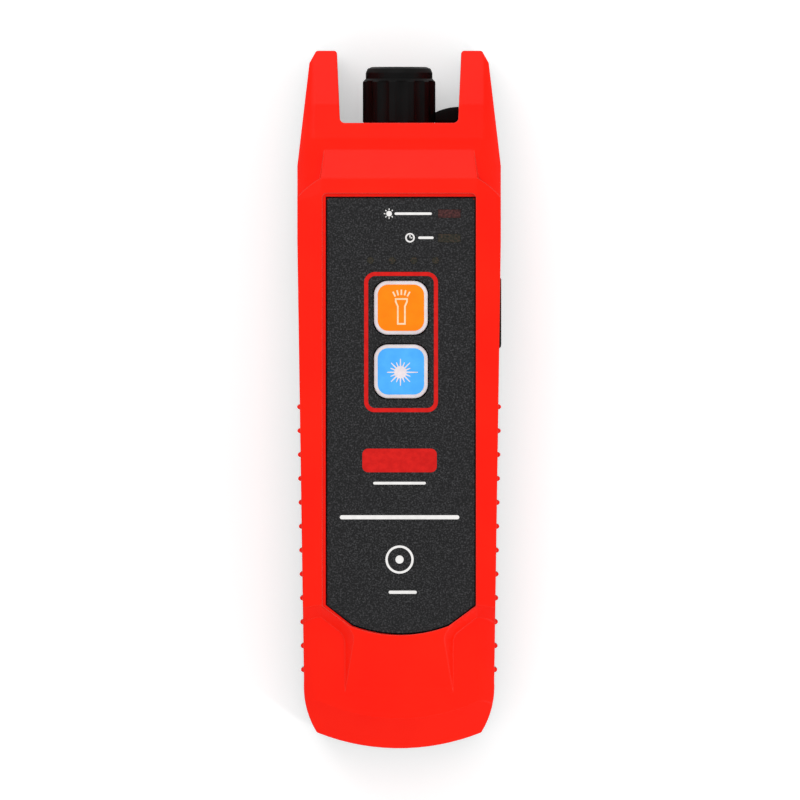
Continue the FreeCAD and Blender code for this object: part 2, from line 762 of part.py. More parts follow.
def key_holes(gap, low, high):
    """Round-cornered holes for both keys."""
    size = KEY_SIZE + 2 * gap
    return [
        rounded_box((KEY_X, y), (size, size), KEY_CORNER + gap, low, high)
        for y in (TORCH_KEY_Y, LASER_KEY_Y)
    ]


def window_blocks(gap, low, high):
    """The two long indicator windows, grown by a gap."""
    blocks = []
    for y in (LASER_WINDOW_Y, AUTO_OFF_WINDOW_Y):
        half_x = WINDOW_WIDTH / 2 + gap
        half_y = WINDOW_HEIGHT / 2 + gap
        blocks.append(box((WINDOW_X - half_x, y - half_y, low), (WINDOW_X + half_x, y + half_y, high)))
    return blocks


def level_rods(gap, low, high):
    """The row of small round battery level windows, grown by a gap."""
    rods = []
    for number in range(LEVEL_LIGHT_COUNT):
        x = LEVEL_LIGHT_FIRST_X + number * LEVEL_LIGHT_PITCH
        rods.append(rod(LEVEL_LIGHT_RADIUS + gap, (x, LEVEL_LIGHT_Y, low), high - low, Z_AXIS))
    return rods


def panel_openings(low, high):
    """Everything that passes through the panel's floor and the label."""
    windows = window_blocks(WINDOW_GAP, low, high) + level_rods(WINDOW_GAP, low, high)
    return key_holes(KEY_GAP, low, high) + windows


def deck_openings():
    """Holes through the deck wall for the fibre port and the torch."""
    start_y = DECK_INNER_Y - OVERCUT
    length = WALL + 2 * OVERCUT
    port = rod(BARREL_THREAD_RADIUS, (0, start_y, PARTING_Z), length, Y_AXIS)
    torch = rod(TORCH_LENS_DIAMETER / 2, (TORCH_X, start_y, TORCH_Z), length, Y_AXIS)
    return [port, torch]


def case_bosses(low, high, radius):
    """Four screw bosses that join the shells."""
    places = both_sides([(SCREW_X, SCREW_TOP_Y), (SCREW_X, SCREW_LOW_Y)])
    return [rod(radius, (x, y, low), high - low, Z_AXIS) for x, y in places]


def board_places():
    """Where the board's four screws stand."""
    return both_sides([(BOARD_SCREW_X, BOARD_SCREW_TOP_Y), (BOARD_SCREW_X, BOARD_SCREW_LOW_Y)])


def front_shell():
    """Front half: body, ramp, panel, tongue, recess, openings, bosses and grip ribs."""
    outline = wire_prism(outline_wire(horn_points(), 0), PARTING_Z, PANEL_FRONT_Z)
    panel = wire_prism(panel_outline(), PARTING_Z, PANEL_FRONT_Z)
    panel = panel.fuse(lower_form()).cut(panel_slopes()).common(outline)
    body = half_body(1, FRONT_DEPTH, 0, BOTTOM_BEVEL, BOTTOM_BEVEL_DROP)
    body = body.fuse([panel, ramp()]).removeSplitter()
    cavity = half_body(1, FRONT_DEPTH, WALL, BOTTOM_BEVEL, BOTTOM_BEVEL_DROP)
    half = BOARD_HALF - BOARD_EDGE_ROOM
    room_low_y = BOARD_LOW_Y - BOARD_END_ROOM
    upper_cavity = box((-half, room_low_y, PARTING_Z), (half, BOARD_TOP_Y - OVERCUT, PANEL_INNER_Z))
    posts = case_bosses(PARTING_Z, BODY_FRONT_Z - OVERCUT, SCREW_BOSS_RADIUS)
    boss_height = PANEL_INNER_Z - BOARD_TOP_Z + SINK
    for x, y in board_places():
        posts.append(rod(BOARD_BOSS_RADIUS, (x, y, BOARD_TOP_Z), boss_height, Z_AXIS))
    cavity = cavity.fuse(upper_cavity).cut(posts)
    holes = case_bosses(PARTING_Z, SCREW_WELL_DEPTH + SCREW_LENGTH, SCREW_RADIUS)
    for x, y in board_places():
        holes.append(rod(BOARD_SCREW_RADIUS, (x, y, BOARD_Z), BOARD_SCREW_LENGTH, Z_AXIS))
    cuts = [cavity, label_recess()] + panel_openings(BOARD_TOP_Z, PANEL_FRONT_Z) + deck_openings() + holes
    return body.cut(cuts)


# ---------------------------------------------------------------- rear shell
def cover_pocket(gap):
    """Pocket in the right side for the cover."""
    half = COVER_DEPTH / 2 + gap
    low = (COVER_INNER_X, COVER_LOW_Y - gap, COVER_Z - half)
    return box(low, (COVER_OUTER_X + OVERCUT, COVER_TOP_Y + gap, COVER_Z + half))


def socket_opening(gap):
    """Slot for the charging plug, with round ends, from the pocket inwards."""
    length, height = SOCKET_LENGTH + 2 * gap, SOCKET_HEIGHT + 2 * gap
    return slot_block(length, height, SOCKET_BACK_X - OVERCUT, COVER_INNER_X + OVERCUT)


def slot_block(length, height, low_x, high_x):
    """Flat bar along X with fully round ends, on the socket's axis."""
    half = (length - height) / 2
    radius = height / 2
    middle = box((low_x, COVER_Y - half, COVER_Z - radius), (high_x, COVER_Y + half, COVER_Z + radius))
    places = (COVER_Y - half, COVER_Y + half)
    ends = [rod(radius, (low_x, y, COVER_Z), high_x - low_x, X_AXIS) for y in places]
    return middle.fuse(ends).removeSplitter()


def saddle(y, axis_z, radius, side_width):
    """Cross rib with a round seat for a cylinder that lies along Y."""
    half = radius + side_width
    low_y = y - SADDLE_THICKNESS / 2
    rib = box((-half, low_y, WALL - SINK), (half, low_y + SADDLE_THICKNESS, axis_z - SADDLE_TOP_DROP))
    return rib.cut(rod(radius, (0, low_y - OVERCUT, axis_z), SADDLE_THICKNESS + 2 * OVERCUT, Y_AXIS))


def cradle_ribs():
    """Saddles for the cell and the laser, and stops that hold the cell's contacts."""
    cell_places = [CELL_TOP_Y - share * CELL_LENGTH for share in (0.15, 0.5, 0.85)]
    ribs = [saddle(y, CELL_AXIS_Z, CELL_DIAMETER / 2, CELL_SADDLE_SIDE) for y in cell_places]
    laser_places = [LASER_BACK_Y + LASER_SADDLE_INSET, THREAD_END_Y - LASER_SADDLE_INSET]
    ribs += [saddle(y, PARTING_Z, LASER_DIAMETER / 2, LASER_SADDLE_SIDE) for y in laser_places]
    half = CELL_DIAMETER / 2
    stop_places = [CELL_TOP_Y + CONTACT_ROOM, CONTACT_BACK_Y - SADDLE_THICKNESS]
    for y in stop_places:
        ribs.append(box((-half, y, WALL - SINK), (half, y + SADDLE_THICKNESS, PARTING_Z - OVERCUT)))
    return ribs


def charging_posts():
    """Two posts under the charging board."""
    high = CHARGING_BOARD_Z - WALL + SINK
    x = (CHARGING_BOARD_LOW_X + CHARGING_BOARD_HIGH_X) / 2
    places = [COVER_Y + side * CHARGING_POST_PITCH / 2 for side in (1, -1)]
    return [rod(CHARGING_POST_RADIUS, (x, y, WALL - SINK), high, Z_AXIS) for y in places]


def seal_ring():
    """Ring that follows the housing's edge between the shells."""
    low_z = PARTING_Z - SEAL_DEPTH
    rings = []
    for inset in (SEAL_INSET, SEAL_INSET + SEAL_WIDTH):
        rings.append(wire_prism(outline_wire(cavity_points(inset), inset), low_z, PARTING_Z))
    return rings[0].cut([rings[1]] + deck_openings())


def rear_shell():
    """Rear half: rounded back, side pocket, cradle ribs, screw wells and the seal's groove."""
    body = half_body(-1, PARTING_Z, 0, REAR_BEVEL, REAR_BEVEL_DROP)
    cavity = half_body(-1, PARTING_Z, WALL, REAR_BEVEL, REAR_BEVEL_DROP)
    pocket_walls = cover_pocket(POCKET_WALL)
    pocket_walls.translate(Vector(-POCKET_WALL, 0, 0))
    kept = case_bosses(0, PARTING_Z, SCREW_BOSS_RADIUS) + cradle_ribs() + charging_posts() + [pocket_walls]
    cavity = cavity.cut(kept)
    cuts = [cavity, cover_pocket(COVER_GAP), socket_opening(SOCKET_GAP)]
    cuts += [seal_ring(), cover_pin(PIN_HOLE_GAP)]
    cuts += case_bosses(0, SCREW_WELL_DEPTH, SCREW_WELL_RADIUS)
    cuts += case_bosses(0, PARTING_Z, SCREW_RADIUS + SCREW_GAP)
    return body.cut(cuts + deck_openings())


# ---------------------------------------------------------------- label, keys and lights
def front_label():
    """Thin overlay with holes for the keys and lights."""
    plate = label_shape(LABEL_LEFT, LABEL_RIGHT, LABEL_TOP_Y, 0, RECESS_Z, LABEL_TOP_Z)
    return plate.cut(panel_openings(RECESS_Z - OVERCUT, LABEL_TOP_Z + OVERCUT))


def key(y):
    """Key cap with its flange below the panel and its stem down to the switch."""
    top_z = LABEL_TOP_Z + KEY_PROUD
    flange_top = PANEL_INNER_Z - KEY_FLANGE_GAP
    flange_low = flange_top - KEY_FLANGE_THICKNESS
    cap = rounded_box((KEY_X, y), (KEY_SIZE, KEY_SIZE), KEY_CORNER, flange_low, top_z)
    rim = [e for e in cap.Edges if min(v.Z for v in e.Vertexes) > top_z - TINY]
    cap = cap.makeChamfer(KEY_BEVEL, rim)
    size = KEY_SIZE + 2 * KEY_FLANGE
    flange = rounded_box((KEY_X, y), (size, size), KEY_CORNER + KEY_FLANGE, flange_low, flange_top)
    stem = rod(STEM_RADIUS, (KEY_X, y, BUTTON_TOP_Z), flange_low - BUTTON_TOP_Z + SINK, Z_AXIS)
    return cap.fuse([flange, stem]).removeSplitter()


def switch(y):
    """Tact switch body with the round hole for its button."""
    half = SWITCH_SIZE / 2
    block = box((KEY_X - half, y - half, BOARD_TOP_Z), (KEY_X + half, y + half, SWITCH_TOP_Z))
    radius = SWITCH_BUTTON_RADIUS + SWITCH_BUTTON_GAP
    return block.cut(rod(radius, (KEY_X, y, BOARD_TOP_Z + SWITCH_FLOOR), SWITCH_HEIGHT, Z_AXIS))


def switch_button(y):
    """Round button that the key's stem stands on."""
    low = SWITCH_TOP_Z - SWITCH_BUTTON_SINK
    return rod(SWITCH_BUTTON_RADIUS, (KEY_X, y, low), BUTTON_TOP_Z - low, Z_AXIS)


def window_light(y):
    """Light pipe from the board up to a window in the label."""
    half_x, half_y = WINDOW_WIDTH / 2, WINDOW_HEIGHT / 2
    return box((WINDOW_X - half_x, y - half_y, BOARD_TOP_Z), (WINDOW_X + half_x, y + half_y, LABEL_TOP_Z))


# ---------------------------------------------------------------- fibre port, cap and strap
def port_barrel():
    """Turned port: outer collar on the deck, threaded tail and a stepped bore along Y."""
    outer = [
        (0, THREAD_END_Y),
        (BARREL_THREAD_RADIUS, THREAD_END_Y),
        (BARREL_THREAD_RADIUS, DECK_Y),
        (BARREL_FLANGE / 2, DECK_Y),
        (BARREL_FLANGE / 2, DECK_Y + BARREL_FLANGE_THICKNESS),
        (BARREL_DIAMETER / 2, DECK_Y + BARREL_FLANGE_THICKNESS),
        (BARREL_DIAMETER / 2, PORT_MOUTH_Y - BARREL_CHAMFER),
        (BARREL_DIAMETER / 2 - BARREL_CHAMFER, PORT_MOUTH_Y),
        (0, PORT_MOUTH_Y),
    ]
    body = turned(closed_wire([(x, y, PARTING_Z) for x, y in outer]), Vector(0, 0, PARTING_Z), Y_AXIS)
    sleeve_start = (0, PORT_MOUTH_Y - SLEEVE_LENGTH, PARTING_Z)
    sleeve_room = rod(SLEEVE_RADIUS, sleeve_start, SLEEVE_LENGTH + OVERCUT, Y_AXIS)
    beam_length = PORT_MOUTH_Y - THREAD_END_Y
    beam = rod(BEAM_BORE / 2, (0, THREAD_END_Y - OVERCUT, PARTING_Z), beam_length, Y_AXIS)
    return body.cut([sleeve_room, beam])


def ferrule_sleeve():
    """Split ceramic sleeve that grips the ferrule."""
    start = (0, PORT_MOUTH_Y - SLEEVE_LENGTH, PARTING_Z)
    bore = rod(PORT_BORE / 2, start, SLEEVE_LENGTH, Y_AXIS)
    tube = rod(SLEEVE_RADIUS, start, SLEEVE_LENGTH, Y_AXIS).cut(bore)
    half = SLEEVE_SLOT / 2
    slot_end = (half, PORT_MOUTH_Y + OVERCUT, PARTING_Z + PORT_BORE)
    slot = box((-half, start[1] - OVERCUT, PARTING_Z), slot_end)
    return tube.cut(slot)


def port_nut():
    """Hexagon nut that clamps the port to the deck wall from inside."""
    corner = NUT_ACROSS / 2 / math.cos(math.radians(30))
    ring = []
    for number in range(6):
        turn = math.radians(60 * number)
        ring.append((corner * math.cos(turn), DECK_INNER_Y, PARTING_Z + corner * math.sin(turn)))
    body = Part.Face(closed_wire(ring)).extrude(Vector(0, -NUT_THICKNESS, 0))
    hole_start = (0, DECK_INNER_Y - NUT_THICKNESS - OVERCUT, PARTING_Z)
    return body.cut(rod(BARREL_THREAD_RADIUS, hole_start, NUT_THICKNESS + 2 * OVERCUT, Y_AXIS))


def dust_cap():
    """Fluted cap with a smooth collar, hollow over the port."""
    seat = DECK_Y + CAP_SEAT_GAP
    top = DECK_Y + CAP_HEIGHT
    step_y = top - CAP_COLLAR_HEIGHT
    ridge, collar = CAP_RIDGE_DIAMETER / 2, CAP_COLLAR_DIAMETER / 2
    taper_y = step_y + ridge - collar
    lower = [
        (0, seat),
        (ridge - CAP_FOOT_CHAMFER, seat),
        (ridge, seat + CAP_FOOT_CHAMFER),
        (ridge, step_y),
        (collar, taper_y),
        (0, taper_y),
    ]
    upper = [
        (0, step_y),
        (collar, step_y),
        (collar, top - CAP_TOP_ROUND),
        (collar - 0.3 * CAP_TOP_ROUND, top - 0.3 * CAP_TOP_ROUND),
        (collar - CAP_TOP_ROUND, top),
        (0, top),
    ]
    centre = Vector(0, 0, PARTING_Z)
    wires = [closed_wire([(x, y, PARTING_Z) for x, y in half]) for half in (lower, upper)]
    body, crown = [turned(wire, centre, Y_AXIS) for wire in wires]
    start = (0, seat - OVERCUT, PARTING_Z)
    hollow = rod(BARREL_DIAMETER / 2 + CAP_FIT, start, top - CAP_TOP_WALL - start[1], Y_AXIS)
    flange_room_y = DECK_Y + BARREL_FLANGE_THICKNESS + 2 * CAP_SEAT_GAP
    skirt = rod(BARREL_FLANGE / 2 + CAP_FIT, start, flange_room_y - start[1], Y_AXIS)
    return body.cut(cap_flutes(seat, step_y)).fuse(crown).removeSplitter().cut([hollow, skirt])


def cap_flutes(seat, step_y):
    """Wide shallow flutes between the cap's narrow ridges, round at their upper ends."""
    flutes = []
    reach = CAP_RIDGE_DIAMETER / 2 - CAP_FLUTE_DEPTH + CAP_FLUTE_RADIUS
    for number in range(CAP_RIDGES):
        turn = math.radians(CAP_RIDGE_TURN + (number + 0.5) * 360 / CAP_RIDGES)
        foot = (reach * math.cos(turn), seat - OVERCUT, PARTING_Z + reach * math.sin(turn))
        flutes.append(rod(CAP_FLUTE_RADIUS, foot, step_y + CAP_FLUTE_OVERRUN - foot[1], Y_AXIS))
    return flutes


def cap_tether():
    """Flat strap from the cap's foot to the right horn, arched at its top."""
    half = TETHER_WIDTH / 2
    left_x, right_x = CAP_RIDGE_DIAMETER / 2 + TETHER_GAP, HORN_INNER_ROOT
    base_y = DECK_Y + CAP_SEAT_GAP
    wall_x = right_x + (HORN_INNER_TIP - HORN_INNER_ROOT) * (TETHER_TOP_Y - DECK_Y) / (HORN_TOP_Y - DECK_Y)
    start = Vector(left_x, TETHER_TOP_Y - TETHER_DIP, 0)
    end = Vector(wall_x - TETHER_WALL_GAP, TETHER_TOP_Y, 0)
    arch = bulged(end, start, TETHER_ARCH)
    corners = [start, Vector(left_x, base_y, 0), Vector(right_x - HORN_ROOT_RADIUS, base_y, 0)]
    heel = Vector(right_x, DECK_Y + HORN_ROOT_RADIUS, 0)
    path = [arch] + [Part.LineSegment(a, b).toShape() for a, b in zip(corners, corners[1:] + [heel])]
    path.append(Part.LineSegment(heel, end).toShape())
    return wire_prism(Part.Wire(Part.__sortEdges__(path)), PARTING_Z - half, PARTING_Z + half)


# ---------------------------------------------------------------- laser and torch
def laser_module():
    """Brass tube with a front wall and its beam hole."""
    start = (0, LASER_BACK_Y, PARTING_Z)
    tube = rod(LASER_DIAMETER / 2, start, LASER_LENGTH, Y_AXIS)
    inner_start = (0, LASER_BACK_Y - OVERCUT, PARTING_Z)
    inner = rod(LASER_INNER_RADIUS, inner_start, LASER_LENGTH - LASER_WALL + OVERCUT, Y_AXIS)
    return tube.cut([inner, rod(BEAM_HOLE_RADIUS, start, LASER_LENGTH + OVERCUT, Y_AXIS)])


def laser_lens():
    """Focusing lens against the tube's front wall, round on its rear face."""
    radius = LASER_INNER_RADIUS
    rim_y = THREAD_END_Y - LASER_WALL - LENS_THICKNESS
    disc = rod(radius, (0, rim_y, PARTING_Z), LENS_THICKNESS, Y_AXIS)
    ball_radius = (radius**2 + LENS_BULGE**2) / (2 * LENS_BULGE)
    ball = Part.makeSphere(ball_radius, Vector(0, rim_y - LENS_BULGE + ball_radius, PARTING_Z))
    start = (0, rim_y - LENS_BULGE - OVERCUT, PARTING_Z)
    swell = ball.common(rod(radius, start, LENS_BULGE + OVERCUT, Y_AXIS))
    return disc.fuse(swell).removeSplitter()


def laser_diode():
    """Diode can on its flange, which closes the tube's rear."""
    flange = rod(LASER_INNER_RADIUS, (0, LASER_BACK_Y, PARTING_Z), LASER_WALL, Y_AXIS)
    can = rod(DIODE_DIAMETER / 2, (0, LASER_BACK_Y, PARTING_Z), DIODE_LENGTH, Y_AXIS)
    places = (-DIODE_PIN_PITCH, 0, DIODE_PIN_PITCH)
    low_y, high_y = LASER_BACK_Y - DIODE_PIN_LENGTH, LASER_BACK_Y + SINK
    pins = [leg(x, PARTING_Z, DIODE_PIN, low_y, high_y) for x in places]
    return flange.fuse([can] + pins).removeSplitter()


def leg(x, z, width, low_y, high_y):
    """Square wire leg along Y."""
    half = width / 2
    return box((x - half, low_y, z - half), (x + half, high_y, z + half))


def torch_lens():
    """Clear window of the torch, flush with the deck, with a rim inside the wall."""
    front = rod(TORCH_LENS_DIAMETER / 2, (TORCH_X, DECK_INNER_Y, TORCH_Z), WALL, Y_AXIS)
    rim_radius = TORCH_LENS_DIAMETER / 2 + TORCH_RIM_WIDTH
    rim = rod(rim_radius, (TORCH_X, DECK_INNER_Y - TORCH_RIM, TORCH_Z), TORCH_RIM, Y_AXIS)
    return front.fuse(rim).removeSplitter()


def torch_led():
    """White light diode behind the torch window, with its two legs."""
    top_y = DECK_INNER_Y - TORCH_RIM
    low_y = top_y - TORCH_LED_LENGTH
    radius = TORCH_LED_DIAMETER / 2
    body = rod(radius, (TORCH_X, low_y, TORCH_Z), TORCH_LED_LENGTH, Y_AXIS)
    body = body.makeChamfer(radius / 2, [e for e in body.Edges if abs(e.CenterOfMass.y - top_y) < TINY])
    collar = rod(radius + TORCH_LED_COLLAR, (TORCH_X, low_y, TORCH_Z), TORCH_LED_COLLAR, Y_AXIS)
    places = [TORCH_X + side * TORCH_LEG_PITCH / 2 for side in (1, -1)]
    legs = [leg(x, TORCH_Z, TORCH_LEG, low_y - TORCH_LEG_LENGTH, low_y + SINK) for x in places]
    return body.fuse([collar] + legs).removeSplitter()


# ---------------------------------------------------------------- side cover and charging socket
def side_port_cover():
    """Cover in the right side: plate round at its hinge end, a plug and a finger notch."""
    low_y, top_y = COVER_LOW_Y, COVER_TOP_Y
    half = COVER_DEPTH / 2
    pivot_y = low_y + COVER_THICKNESS / 2
    plate = box((COVER_INNER_X, pivot_y, COVER_Z - half), (COVER_OUTER_X, top_y, COVER_Z + half))
    knuckle = rod(COVER_THICKNESS / 2, (COVER_PIN_X, pivot_y, COVER_Z - half), COVER_DEPTH, Z_AXIS)
    plug = slot_block(PLUG_LENGTH, PLUG_HEIGHT, COVER_INNER_X - PLUG_DEPTH, COVER_INNER_X + SINK)
    notch_x = COVER_OUTER_X + NOTCH_RADIUS - NOTCH_DEPTH
    notch_low = (notch_x, top_y, COVER_Z - half - OVERCUT)
    notch = rod(NOTCH_RADIUS, notch_low, COVER_DEPTH + 2 * OVERCUT, Z_AXIS)
    return plate.fuse([knuckle, plug]).removeSplitter().cut([notch, cover_pin(PIN_RUNNING_GAP)])


def cover_pin(gap):
    """Steel pin through the cover's knuckle, held in the shell at both ends."""
    half = COVER_DEPTH / 2 + PIN_SEAT
    start = (COVER_PIN_X, COVER_LOW_Y + COVER_THICKNESS / 2, COVER_Z - half)
    return rod(PIN_RADIUS + gap, start, 2 * half, Z_AXIS)


def charging_socket():
    """Drawn metal socket shell with its contact tongue."""
    outer = slot_block(SOCKET_LENGTH, SOCKET_HEIGHT, SOCKET_BACK_X, SOCKET_FRONT_X)
    wall = SOCKET_WALL
    inner_size = (SOCKET_LENGTH - 2 * wall, SOCKET_HEIGHT - 2 * wall)
    inner = slot_block(*inner_size, SOCKET_BACK_X + OVERCUT, SOCKET_FRONT_X + OVERCUT)
    half_y, half_z = CONTACT_TONGUE_WIDTH / 2, CONTACT_TONGUE_THICKNESS / 2
    end_x = COVER_INNER_X - PLUG_DEPTH - CONTACT_TONGUE_GAP
    low = (SOCKET_BACK_X + SINK, COVER_Y - half_y, COVER_Z - half_z)
    contacts = box(low, (end_x, COVER_Y + half_y, COVER_Z + half_z))
    return outer.cut(inner).fuse(contacts).removeSplitter()


def charging_board():
    """Small board that carries the charging socket."""
    half = CHARGING_BOARD_LENGTH / 2
    low = (CHARGING_BOARD_LOW_X, COVER_Y - half, CHARGING_BOARD_Z)
    return box(low, (CHARGING_BOARD_HIGH_X, COVER_Y + half, COVER_Z - SOCKET_HEIGHT / 2))


# ---------------------------------------------------------------- board, cell and fasteners
def main_board():
    """Circuit board with round corners and screw holes."""
    size = (2 * BOARD_HALF, BOARD_TOP_Y - BOARD_LOW_Y)
    board = rounded_box((0, (BOARD_TOP_Y + BOARD_LOW_Y) / 2), size, BOARD_CORNER, BOARD_Z, BOARD_TOP_Z)
    low_z, high_z = BOARD_Z - OVERCUT, BOARD_TOP_Z + OVERCUT
    radius = BOARD_SCREW_RADIUS + SCREW_GAP
    holes = [rod(radius, (x, y, low_z), high_z - low_z, Z_AXIS) for x, y in board_places()]
    return board.cut(holes + case_bosses(low_z, high_z, SCREW_BOSS_RADIUS + BOARD_NOTCH_GAP))


def board_package(x, y, size, height):
    """Square package on the board's front side."""
    half = size / 2
    return box((x - half, y - half, BOARD_TOP_Z), (x + half, y + half, BOARD_TOP_Z + height))


def cell():
    """Round cell along Y with its raised terminal at the upper end."""
    low_y = CELL_TOP_Y - CELL_LENGTH
    can_length = CELL_LENGTH - TERMINAL_HEIGHT
    can = rod(CELL_DIAMETER / 2, (0, low_y, CELL_AXIS_Z), can_length, Y_AXIS)
    middle = low_y + can_length / 2
    ends = [e for e in can.Edges if abs(abs(e.CenterOfMass.y - middle) - can_length / 2) < TINY]
    can = can.makeChamfer(CELL_CHAMFER, ends)
    terminal_y = low_y + can_length - SINK
    terminal = rod(TERMINAL_RADIUS, (0, terminal_y, CELL_AXIS_Z), TERMINAL_HEIGHT + SINK, Y_AXIS)
    return can.fuse(terminal).removeSplitter()


def cell_contacts():
    """Plate at the cell's upper end and a bowed leaf at its lower end, each against its stop."""
    half = CONTACT_HALF
    low_z, high_z = CELL_AXIS_Z - half, CELL_AXIS_Z + half / 2
    plate = box((-half, CELL_TOP_Y, low_z), (half, CELL_TOP_Y + CONTACT_ROOM, high_z))
    back = CONTACT_BACK_Y
    leaf = box((-half, back, low_z), (half, back + CONTACT_LEAF, high_z))
    bow_foot = (0, back + CONTACT_ROOM - CONTACT_BOW_RADIUS, low_z)
    bow = rod(CONTACT_BOW_RADIUS, bow_foot, high_z - low_z, Z_AXIS)
    inner = rod(CONTACT_BOW_RADIUS - CONTACT_LEAF, bow_foot, high_z - low_z, Z_AXIS)
    front = box((-half, back, low_z), (half, back + CONTACT_ROOM, high_z))
    return [plate, leaf.fuse(bow.cut(inner).common(front)).removeSplitter()]


def case_screw(x, y):
    """Case screw with a flat head and a cross slot, from the back of the housing."""
    low_z = SCREW_WELL_DEPTH - SCREW_HEAD_HEIGHT
    head = rod(SCREW_HEAD_RADIUS, (x, y, low_z), SCREW_HEAD_HEIGHT, Z_AXIS)
    shank = rod(SCREW_RADIUS, (x, y, SCREW_WELL_DEPTH - SINK), SCREW_LENGTH + SINK, Z_AXIS)
    return cross_cut(head.fuse(shank).removeSplitter(), x, y, low_z, SCREW_SLOT)


def cross_cut(solid, x, y, low_z, reach):
    """Cuts a cross slot up into a head whose face is at low_z."""
    half = SCREW_SLOT_WIDTH / 2
    high_z = low_z + SCREW_SLOT_DEPTH
    sizes = ((reach, half), (half, reach))
    return solid.cut([box((x - a, y - b, low_z - OVERCUT), (x + a, y + b, high_z)) for a, b in sizes])


def board_screw(x, y):
    """Small screw through the board into its boss."""
    low_z = BOARD_Z - BOARD_SCREW_HEAD_HEIGHT
    head = rod(BOARD_SCREW_HEAD_RADIUS, (x, y, low_z), BOARD_SCREW_HEAD_HEIGHT, Z_AXIS)
    shank = rod(BOARD_SCREW_RADIUS, (x, y, BOARD_Z - SINK), BOARD_SCREW_LENGTH + SINK, Z_AXIS)
    return cross_cut(head.fuse(shank).removeSplitter(), x, y, low_z, BOARD_SCREW_SLOT)


# ---------------------------------------------------------------- assembly
def all_parts():
    """Every node's name and its solids."""
    case_places = both_sides([(SCREW_X, SCREW_TOP_Y), (SCREW_X, SCREW_LOW_Y)])
    return {
        "front_shell": [front_shell()],
        "rear_shell": [rear_shell()],
        "shell_seal": [seal_ring()],
        "front_label": [front_label()],
        "torch_key": [key(TORCH_KEY_Y)],
        "laser_key": [key(LASER_KEY_Y)],
        "torch_switch": [switch(TORCH_KEY_Y)],
        "laser_switch": [switch(LASER_KEY_Y)],
        "torch_switch_button": [switch_button(TORCH_KEY_Y)],
        "laser_switch_button": [switch_button(LASER_KEY_Y)],
        "laser_indicator": [window_light(LASER_WINDOW_Y)],
        "auto_off_indicator": [window_light(AUTO_OFF_WINDOW_Y)],
        "battery_level_lights": level_rods(0, BOARD_TOP_Z, LABEL_TOP_Z),
        "port_barrel": [port_barrel()],
        "port_nut": [port_nut()],
        "ferrule_sleeve": [ferrule_sleeve()],
        "dust_cap": [dust_cap()],
        "cap_tether": [cap_tether()],
        "laser_module": [laser_module()],
        "laser_lens": [laser_lens()],
        "laser_diode": [laser_diode()],
        "torch_lens": [torch_lens()],
        "torch_led": [torch_led()],
        "side_port_cover": [side_port_cover()],
        "side_cover_pin": [cover_pin(0)],
        "charging_socket": [charging_socket()],
        "charging_board": [charging_board()],
        "main_board": [main_board()],
        "controller_chip": [board_package(CHIP_X, CHIP_Y, CHIP_SIZE, CHIP_HEIGHT)],
        "driver_coil": [board_package(COIL_X, COIL_Y, COIL_SIZE, COIL_HEIGHT)],
        "battery_cell": [cell()],
        "battery_contacts": cell_contacts(),
        "case_screws": [case_screw(x, y) for x, y in case_places],
        "board_screws": [board_screw(x, y) for x, y in board_places()],
    }


def main():
    """Writes one STEP file for each node."""
    os.makedirs("parts", exist_ok=True)
    for name, solids in all_parts().items():
        shape = solids[0] if len(solids) == 1 else Part.makeCompound(solids)
        if len(shape.Solids) == 1:
            shape = shape.Solids[0]
        shape.exportStep("parts/" + name + ".step")


main()
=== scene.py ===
"""Looks of the fault locator: finishes, keys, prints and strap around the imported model."""

import math

import bmesh
import bpy
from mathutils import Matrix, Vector


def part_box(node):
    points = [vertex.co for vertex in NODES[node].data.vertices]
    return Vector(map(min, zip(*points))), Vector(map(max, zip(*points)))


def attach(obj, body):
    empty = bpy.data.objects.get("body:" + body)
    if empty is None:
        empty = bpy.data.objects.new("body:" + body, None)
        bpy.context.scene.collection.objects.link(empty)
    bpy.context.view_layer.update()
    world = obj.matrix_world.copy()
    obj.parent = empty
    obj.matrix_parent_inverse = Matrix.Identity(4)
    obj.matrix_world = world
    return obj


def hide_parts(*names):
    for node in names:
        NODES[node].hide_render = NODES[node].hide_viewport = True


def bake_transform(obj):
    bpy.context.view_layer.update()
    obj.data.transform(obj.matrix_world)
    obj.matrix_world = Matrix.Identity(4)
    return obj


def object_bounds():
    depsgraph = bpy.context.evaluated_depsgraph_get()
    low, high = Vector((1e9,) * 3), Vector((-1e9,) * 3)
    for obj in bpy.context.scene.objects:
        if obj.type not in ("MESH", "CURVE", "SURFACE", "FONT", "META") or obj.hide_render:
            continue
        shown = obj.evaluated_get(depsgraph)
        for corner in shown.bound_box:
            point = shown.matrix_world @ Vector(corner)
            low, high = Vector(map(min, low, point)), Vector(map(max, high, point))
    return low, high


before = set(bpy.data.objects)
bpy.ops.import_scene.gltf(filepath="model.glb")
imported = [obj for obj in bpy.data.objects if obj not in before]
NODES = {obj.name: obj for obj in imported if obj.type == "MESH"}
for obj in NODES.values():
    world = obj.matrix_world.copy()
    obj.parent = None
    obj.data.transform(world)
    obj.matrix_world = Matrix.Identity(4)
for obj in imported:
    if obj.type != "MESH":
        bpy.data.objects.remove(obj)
CAD_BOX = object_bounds()

MM = 0.001


# ---------------------------------------------------------------- shader help

BEVEL_SAMPLES = 6
NOISE_ROUGHNESS = 0.55
NOISE_DETAIL = 3.0
GRAIN_DETAIL = 4.0
NOISE_LOW = 0.3
NOISE_HIGH = 0.7
# The painted edge highlight: the bevel radius that finds edges, and the facing range over which
# the lighter tone fades in
HIGHLIGHT_RADIUS = 0.28
HIGHLIGHT_FROM = 0.74
HIGHLIGHT_TO = 0.965

# A mix node has sockets of these names for each kind of value, so colours go by number
MIX_FIRST = 6
MIX_SECOND = 7
MIX_RESULT = 2


